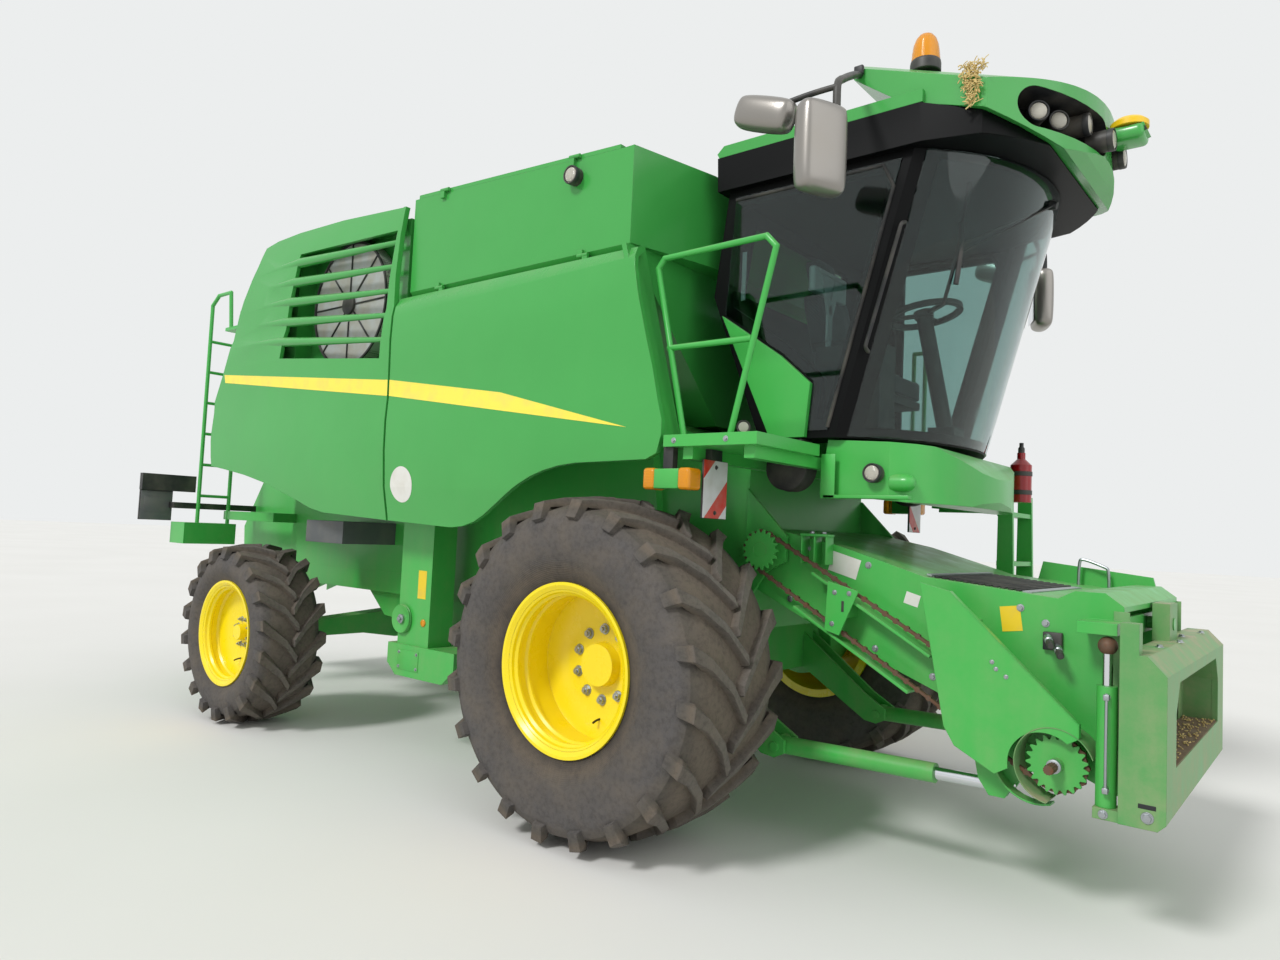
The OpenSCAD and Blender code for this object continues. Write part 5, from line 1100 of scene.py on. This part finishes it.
def tilt_fittings(bright, dark, rusty):
    """Ports and a rigid pipe on the tilt cylinder, its rod's rusty eye, and the tilting frame's bolts."""
    centre = at(2.345, -0.86, 0)
    out, up = Vector((0.15, -0.99, 0)).normalized(), Vector((0, 0, 1))
    port = [(0, 0.066), (0.009, 0.066), (0.009, 0.052), (0.014, 0.052), (0.014, 0.036), (0, 0.036)]
    mesh = bmesh.new()
    for z in (0.665, 1.040):
        add_turning(mesh, port, centre + z * up, out, 24)
        nut, half = centre + z * up + 0.060 * out, Vector((0.011, 0.011, 0.012))
        add_block(mesh, nut - half, nut + half, 0.003)
    pipe = ((0.665, 0.062), (0.70, 0.066), (0.85, 0.074), (1.0, 0.066), (1.04, 0.062))
    add_tube(mesh, [centre + z * up + away * out for z, away in pipe], 0.006)
    for x, y, z, size in ((2.345, -0.91, 0.567, 0.013), (2.505, -0.919, 0.592, 0.016)):
        add_bolt(mesh, at(x, y, z), (0, -1, 0), size)
    for x, y in ((2.47, -0.45), (2.50, -0.10), (2.46, 0.25), (2.50, 0.62)):
        add_bolt(mesh, at(x, y, 1.2242), (0, 0, 1), 0.012)
    piece("tilt_cylinder_pipe", mesh, bright, "adapter", smooth=40)
    mesh = bmesh.new()
    add_block(mesh, at(2.472, -0.9205, 0.625), at(2.535, -0.9185, 0.643), 0.0008)
    piece("frame_slot", mesh, dark, "adapter")
    mesh = bmesh.new()
    ball = 0.0384
    half_turn = [math.pi * i / 24 for i in range(25)]
    add_turning(mesh, [(ball * math.sin(a), -ball * math.cos(a)) for a in half_turn],
                centre + 1.245 * up, up, 40)
    piece("tilt_rod_eye", mesh, rusty, "tilt_rod", smooth=50)


def frame_mouth(paint, brown, straw):
    """Reveal behind the tilting frame's window, with dried soil and chaff on its floor."""
    window = [(-0.693, 0.757), (-0.693, 0.981), (-0.602, 1.103), (0.602, 1.103), (0.693, 0.981),
              (0.693, 0.757)]
    mesh = bmesh.new()
    face, depth = 2.402, 0.139
    add_strip(mesh, [at(face, y, z) for y, z in window], Vector((depth, 0, 0)), 0.003, closed=True)
    for side in (RIGHT, LEFT):
        add_block(mesh, at(2.4025, side * 0.560, 0.760), at(2.408, side * 0.692, 0.980), 0.001)
    piece("mouth_plates", mesh, paint, "adapter", smooth=30)
    mesh = bmesh.new()
    for side in (RIGHT, LEFT):
        add_block(mesh, at(2.335, side * 0.7000, 0.680), at(2.397, side * 0.7045, 1.380), 0.001)
    piece("mouth_flanges", mesh, paint, "feeder", smooth=40)
    mesh = bmesh.new()
    add_block(mesh, at(2.409, -0.684, 0.7603), at(2.566, 0.684, 0.7633), 0.0012)
    piece("ledge_soil", mesh, brown, "adapter")
    # Chaff: crumbs and short stalks by turns, most stalks lying across
    grains = random.Random(11)
    mesh = bmesh.new()
    for number in range(260):
        spot = at(grains.uniform(2.415, 2.555), grains.uniform(-0.66, 0.67),
                  0.7655 + grains.uniform(0, 0.004))
        if number % 2:
            bmesh.ops.create_icosphere(mesh, subdivisions=1, radius=grains.uniform(0.003, 0.0055),
                                       matrix=Matrix.Translation(spot))
        else:
            a = grains.uniform(0, math.tau)
            length = grains.uniform(0.012, 0.03)
            reach = Vector((0.3 * math.cos(a), math.sin(a), 0.04)) * length / 2
            add_tube(mesh, [spot - reach, spot + reach], grains.uniform(0.0015, 0.003), rounded=False)
    piece("ledge_chaff", mesh, straw, "adapter", smooth=50)


# Everything in its place

place_camera()
studio()

panel_paint = painted_steel("satin green enamel on panels", "#40a44a", "#399942", dust=0.35, gloss=0.24,
                            grime=0.05)
frame_paint = painted_steel("green enamel on frame parts", "#40b24c", "#38a544", dust=0.35, gloss=0.34,
                            grime=0.22)
worn_paint = painted_steel("worn green enamel on header frame", "#4c9950", "#55914f", dust=0.75, gloss=0.5,
                           grime=0.7, wear=0.8)
rim_paint = painted_steel("yellow enamel on wheel discs", "#f6e000", "#efd400", dust=0.08, gloss=0.26,
                          grime=0.05)
front_rubber = tyre_rubber("tyre rubber, front", 0.0, FRONT_RADIUS)
rear_rubber = tyre_rubber("tyre rubber, rear", -WHEEL_BASE, REAR_RADIUS)
cab_coat = plastic("black powder coat on cab frame", "#08090a", roughness=0.45, dust=0.0, shine=0.12)
mirror_shell = plastic("graphite lacquer on mirror shells", "#95918c", roughness=0.3, dust=0.2, metal=0.7)
lamp_housing = plastic("black moulded glass fibre nylon", "#35332f", roughness=0.5, dust=0.45)
grey_plastic = plastic("grey moulded polypropylene", "#565a5b", roughness=0.5, dust=0.3)
pale_plastic = plastic("pale grey moulded ABS", "#b9bcbc", roughness=0.4, dust=0.1)
dark_plastic = plastic("black moulded polypropylene", "#1d1f21", roughness=0.5, dust=0.3)
yellow_plastic = plastic("yellow moulded ABS", "#f0c419", roughness=0.35, dust=0.12)
moulded_rubber = plastic("black moulded rubber", "#191a1a", roughness=0.7, dust=0.25)
glazing = cab_glazing("tinted cab glass", "#a9c4c0")
chrome = bare_metal("chromed ram steel", "#d9dce0", 0.12)
zinc = bare_metal("zinc plated steel", "#a8adb0", 0.42, rust=0.15)
chain_steel = bare_metal("oiled roller chain steel", "#6d6258", 0.5, rust=0.9)
lamp_lens = lens("clear ribbed acrylic", "#dcd8cb")
amber_lens = lens("amber ribbed acrylic", "#f7a114", clear=0.3)
red_lens = lens("red ribbed acrylic", "#b3170f", clear=0.2)
red_enamel = painted_steel("red enamel on bottle", "#a3161c", "#96131a", dust=0.1, gloss=0.2)
screen_sheet = perforated_screen("perforated zinc coated sheet")
weave = seat_cloth("woven polyester seat cloth")
stripe_film = plain_film("yellow vinyl stripe film", "#f6e250")
white_film = plain_film("white vinyl label film", "#d9d8d2")
yellow_film = plain_film("yellow vinyl label film", "#e8c71f")
dry_straw = plain_film("dry straw", "#d6bd7c", roughness=0.7)
dried_soil = plain_film("dried soil and chaff dust", "#7b6650", roughness=0.9)
monitor_glass = plastic("dark monitor glass", "#0f1316", roughness=0.12, dust=0.05)
hazard_sheeting = hazard_sheet("red and white reflective sheet")

FINISHES = {
    panel_paint: ["rear_hood", "grain_tank", "panel_front_left", "panel_front_right", "panel_rear_left",
                  "panel_rear_right", "tank_lid_left", "tank_lid_right", "roof_visor", "auger_turret",
                  "unloading_auger"],
    frame_paint: ["chassis", "nose_console", "front_axle", "rear_axle", "separator_housing", "platforms",
                  "grain_elevators", "rear_ladder", "straw_chopper", "feeder_house", "feeder_sides",
                  "feeder_drive", "tilt_barrel", "lift_barrels", "knuckle_left", "knuckle_right",
                  "cab_ladder"],
    worn_paint: ["adapter_frame"],
    rim_paint: ["rim_front_left", "rim_front_right", "rim_rear_left", "rim_rear_right"],
    front_rubber: ["tyre_front_left", "tyre_front_right"],
    rear_rubber: ["tyre_rear_left", "tyre_rear_right"],
    cab_coat: ["cab_frame", "cab_roof", "cab_door"],
    grey_plastic: ["mirrors", "side_boxes"],
    dark_plastic: ["seat", "cab_controls", "light_boards", "engine", "front_signs"],
    yellow_plastic: ["receiver_dome"],
    glazing: ["cab_glass", "door_glass"],
    chrome: ["tilt_rod", "lift_rods"],
    chain_steel: ["drive_chain"],
    lamp_housing: ["work_lamps"],
    amber_lens: ["beacon"],
    red_enamel: ["extinguisher"],
    screen_sheet: ["rotary_screen"]}
for finish, covered in FINISHES.items():
    for node in covered:
        nodes[node].data.materials.clear()
        nodes[node].data.materials.append(finish)

smooth_skins()
side_stripes(stripe_film)
blank_films(white_film, yellow_film)
front_signs(hazard_sheeting, amber_lens, frame_paint, dark_plastic)
rear_lights(hazard_sheeting, red_lens, amber_lens, grey_plastic)
wheel_bolts(zinc, dark_plastic)
cab_seals(moulded_rubber)
wiper(dark_plastic)
driver_seat(weave, dark_plastic)
drive_lever(dark_plastic)
monitor(pale_plastic, monitor_glass)
smooth_mirrors(mirror_shell, dark_plastic, chrome)
# Painted shade: a black film on the walls of the visor's lamp recesses
visor_recess_painted_shade(dark_plastic)
screen_spokes(dark_plastic)
sprocket_guard(worn_paint)
lamp_fronts(dark_plastic, chrome, lamp_lens)
beacon_light(amber_lens, dark_plastic)
straw_wisp(dry_straw)
feeder_mat(moulded_rubber)
feeder_trim(zinc)
console_relief(frame_paint)
receiver_neck(panel_paint)
cab_dark_drums(moulded_rubber, dark_plastic)
step_lamp(dark_plastic)
grab_rail(dark_plastic)
pane_strip(pale_plastic)
extinguisher_straps(dark_plastic)
drive_fasteners(zinc, dark_plastic, frame_paint)
drive_shaft_end(chain_steel)
tilt_fittings(zinc, dark_plastic, chain_steel)
couplers(zinc, dark_plastic)
frame_mouth(worn_paint, dried_soil, dry_straw)
elevator_trim(yellow_film, amber_lens, frame_paint, zinc)
deck_bolts(zinc)

bpy.context.scene.view_settings.view_transform = "Standard"
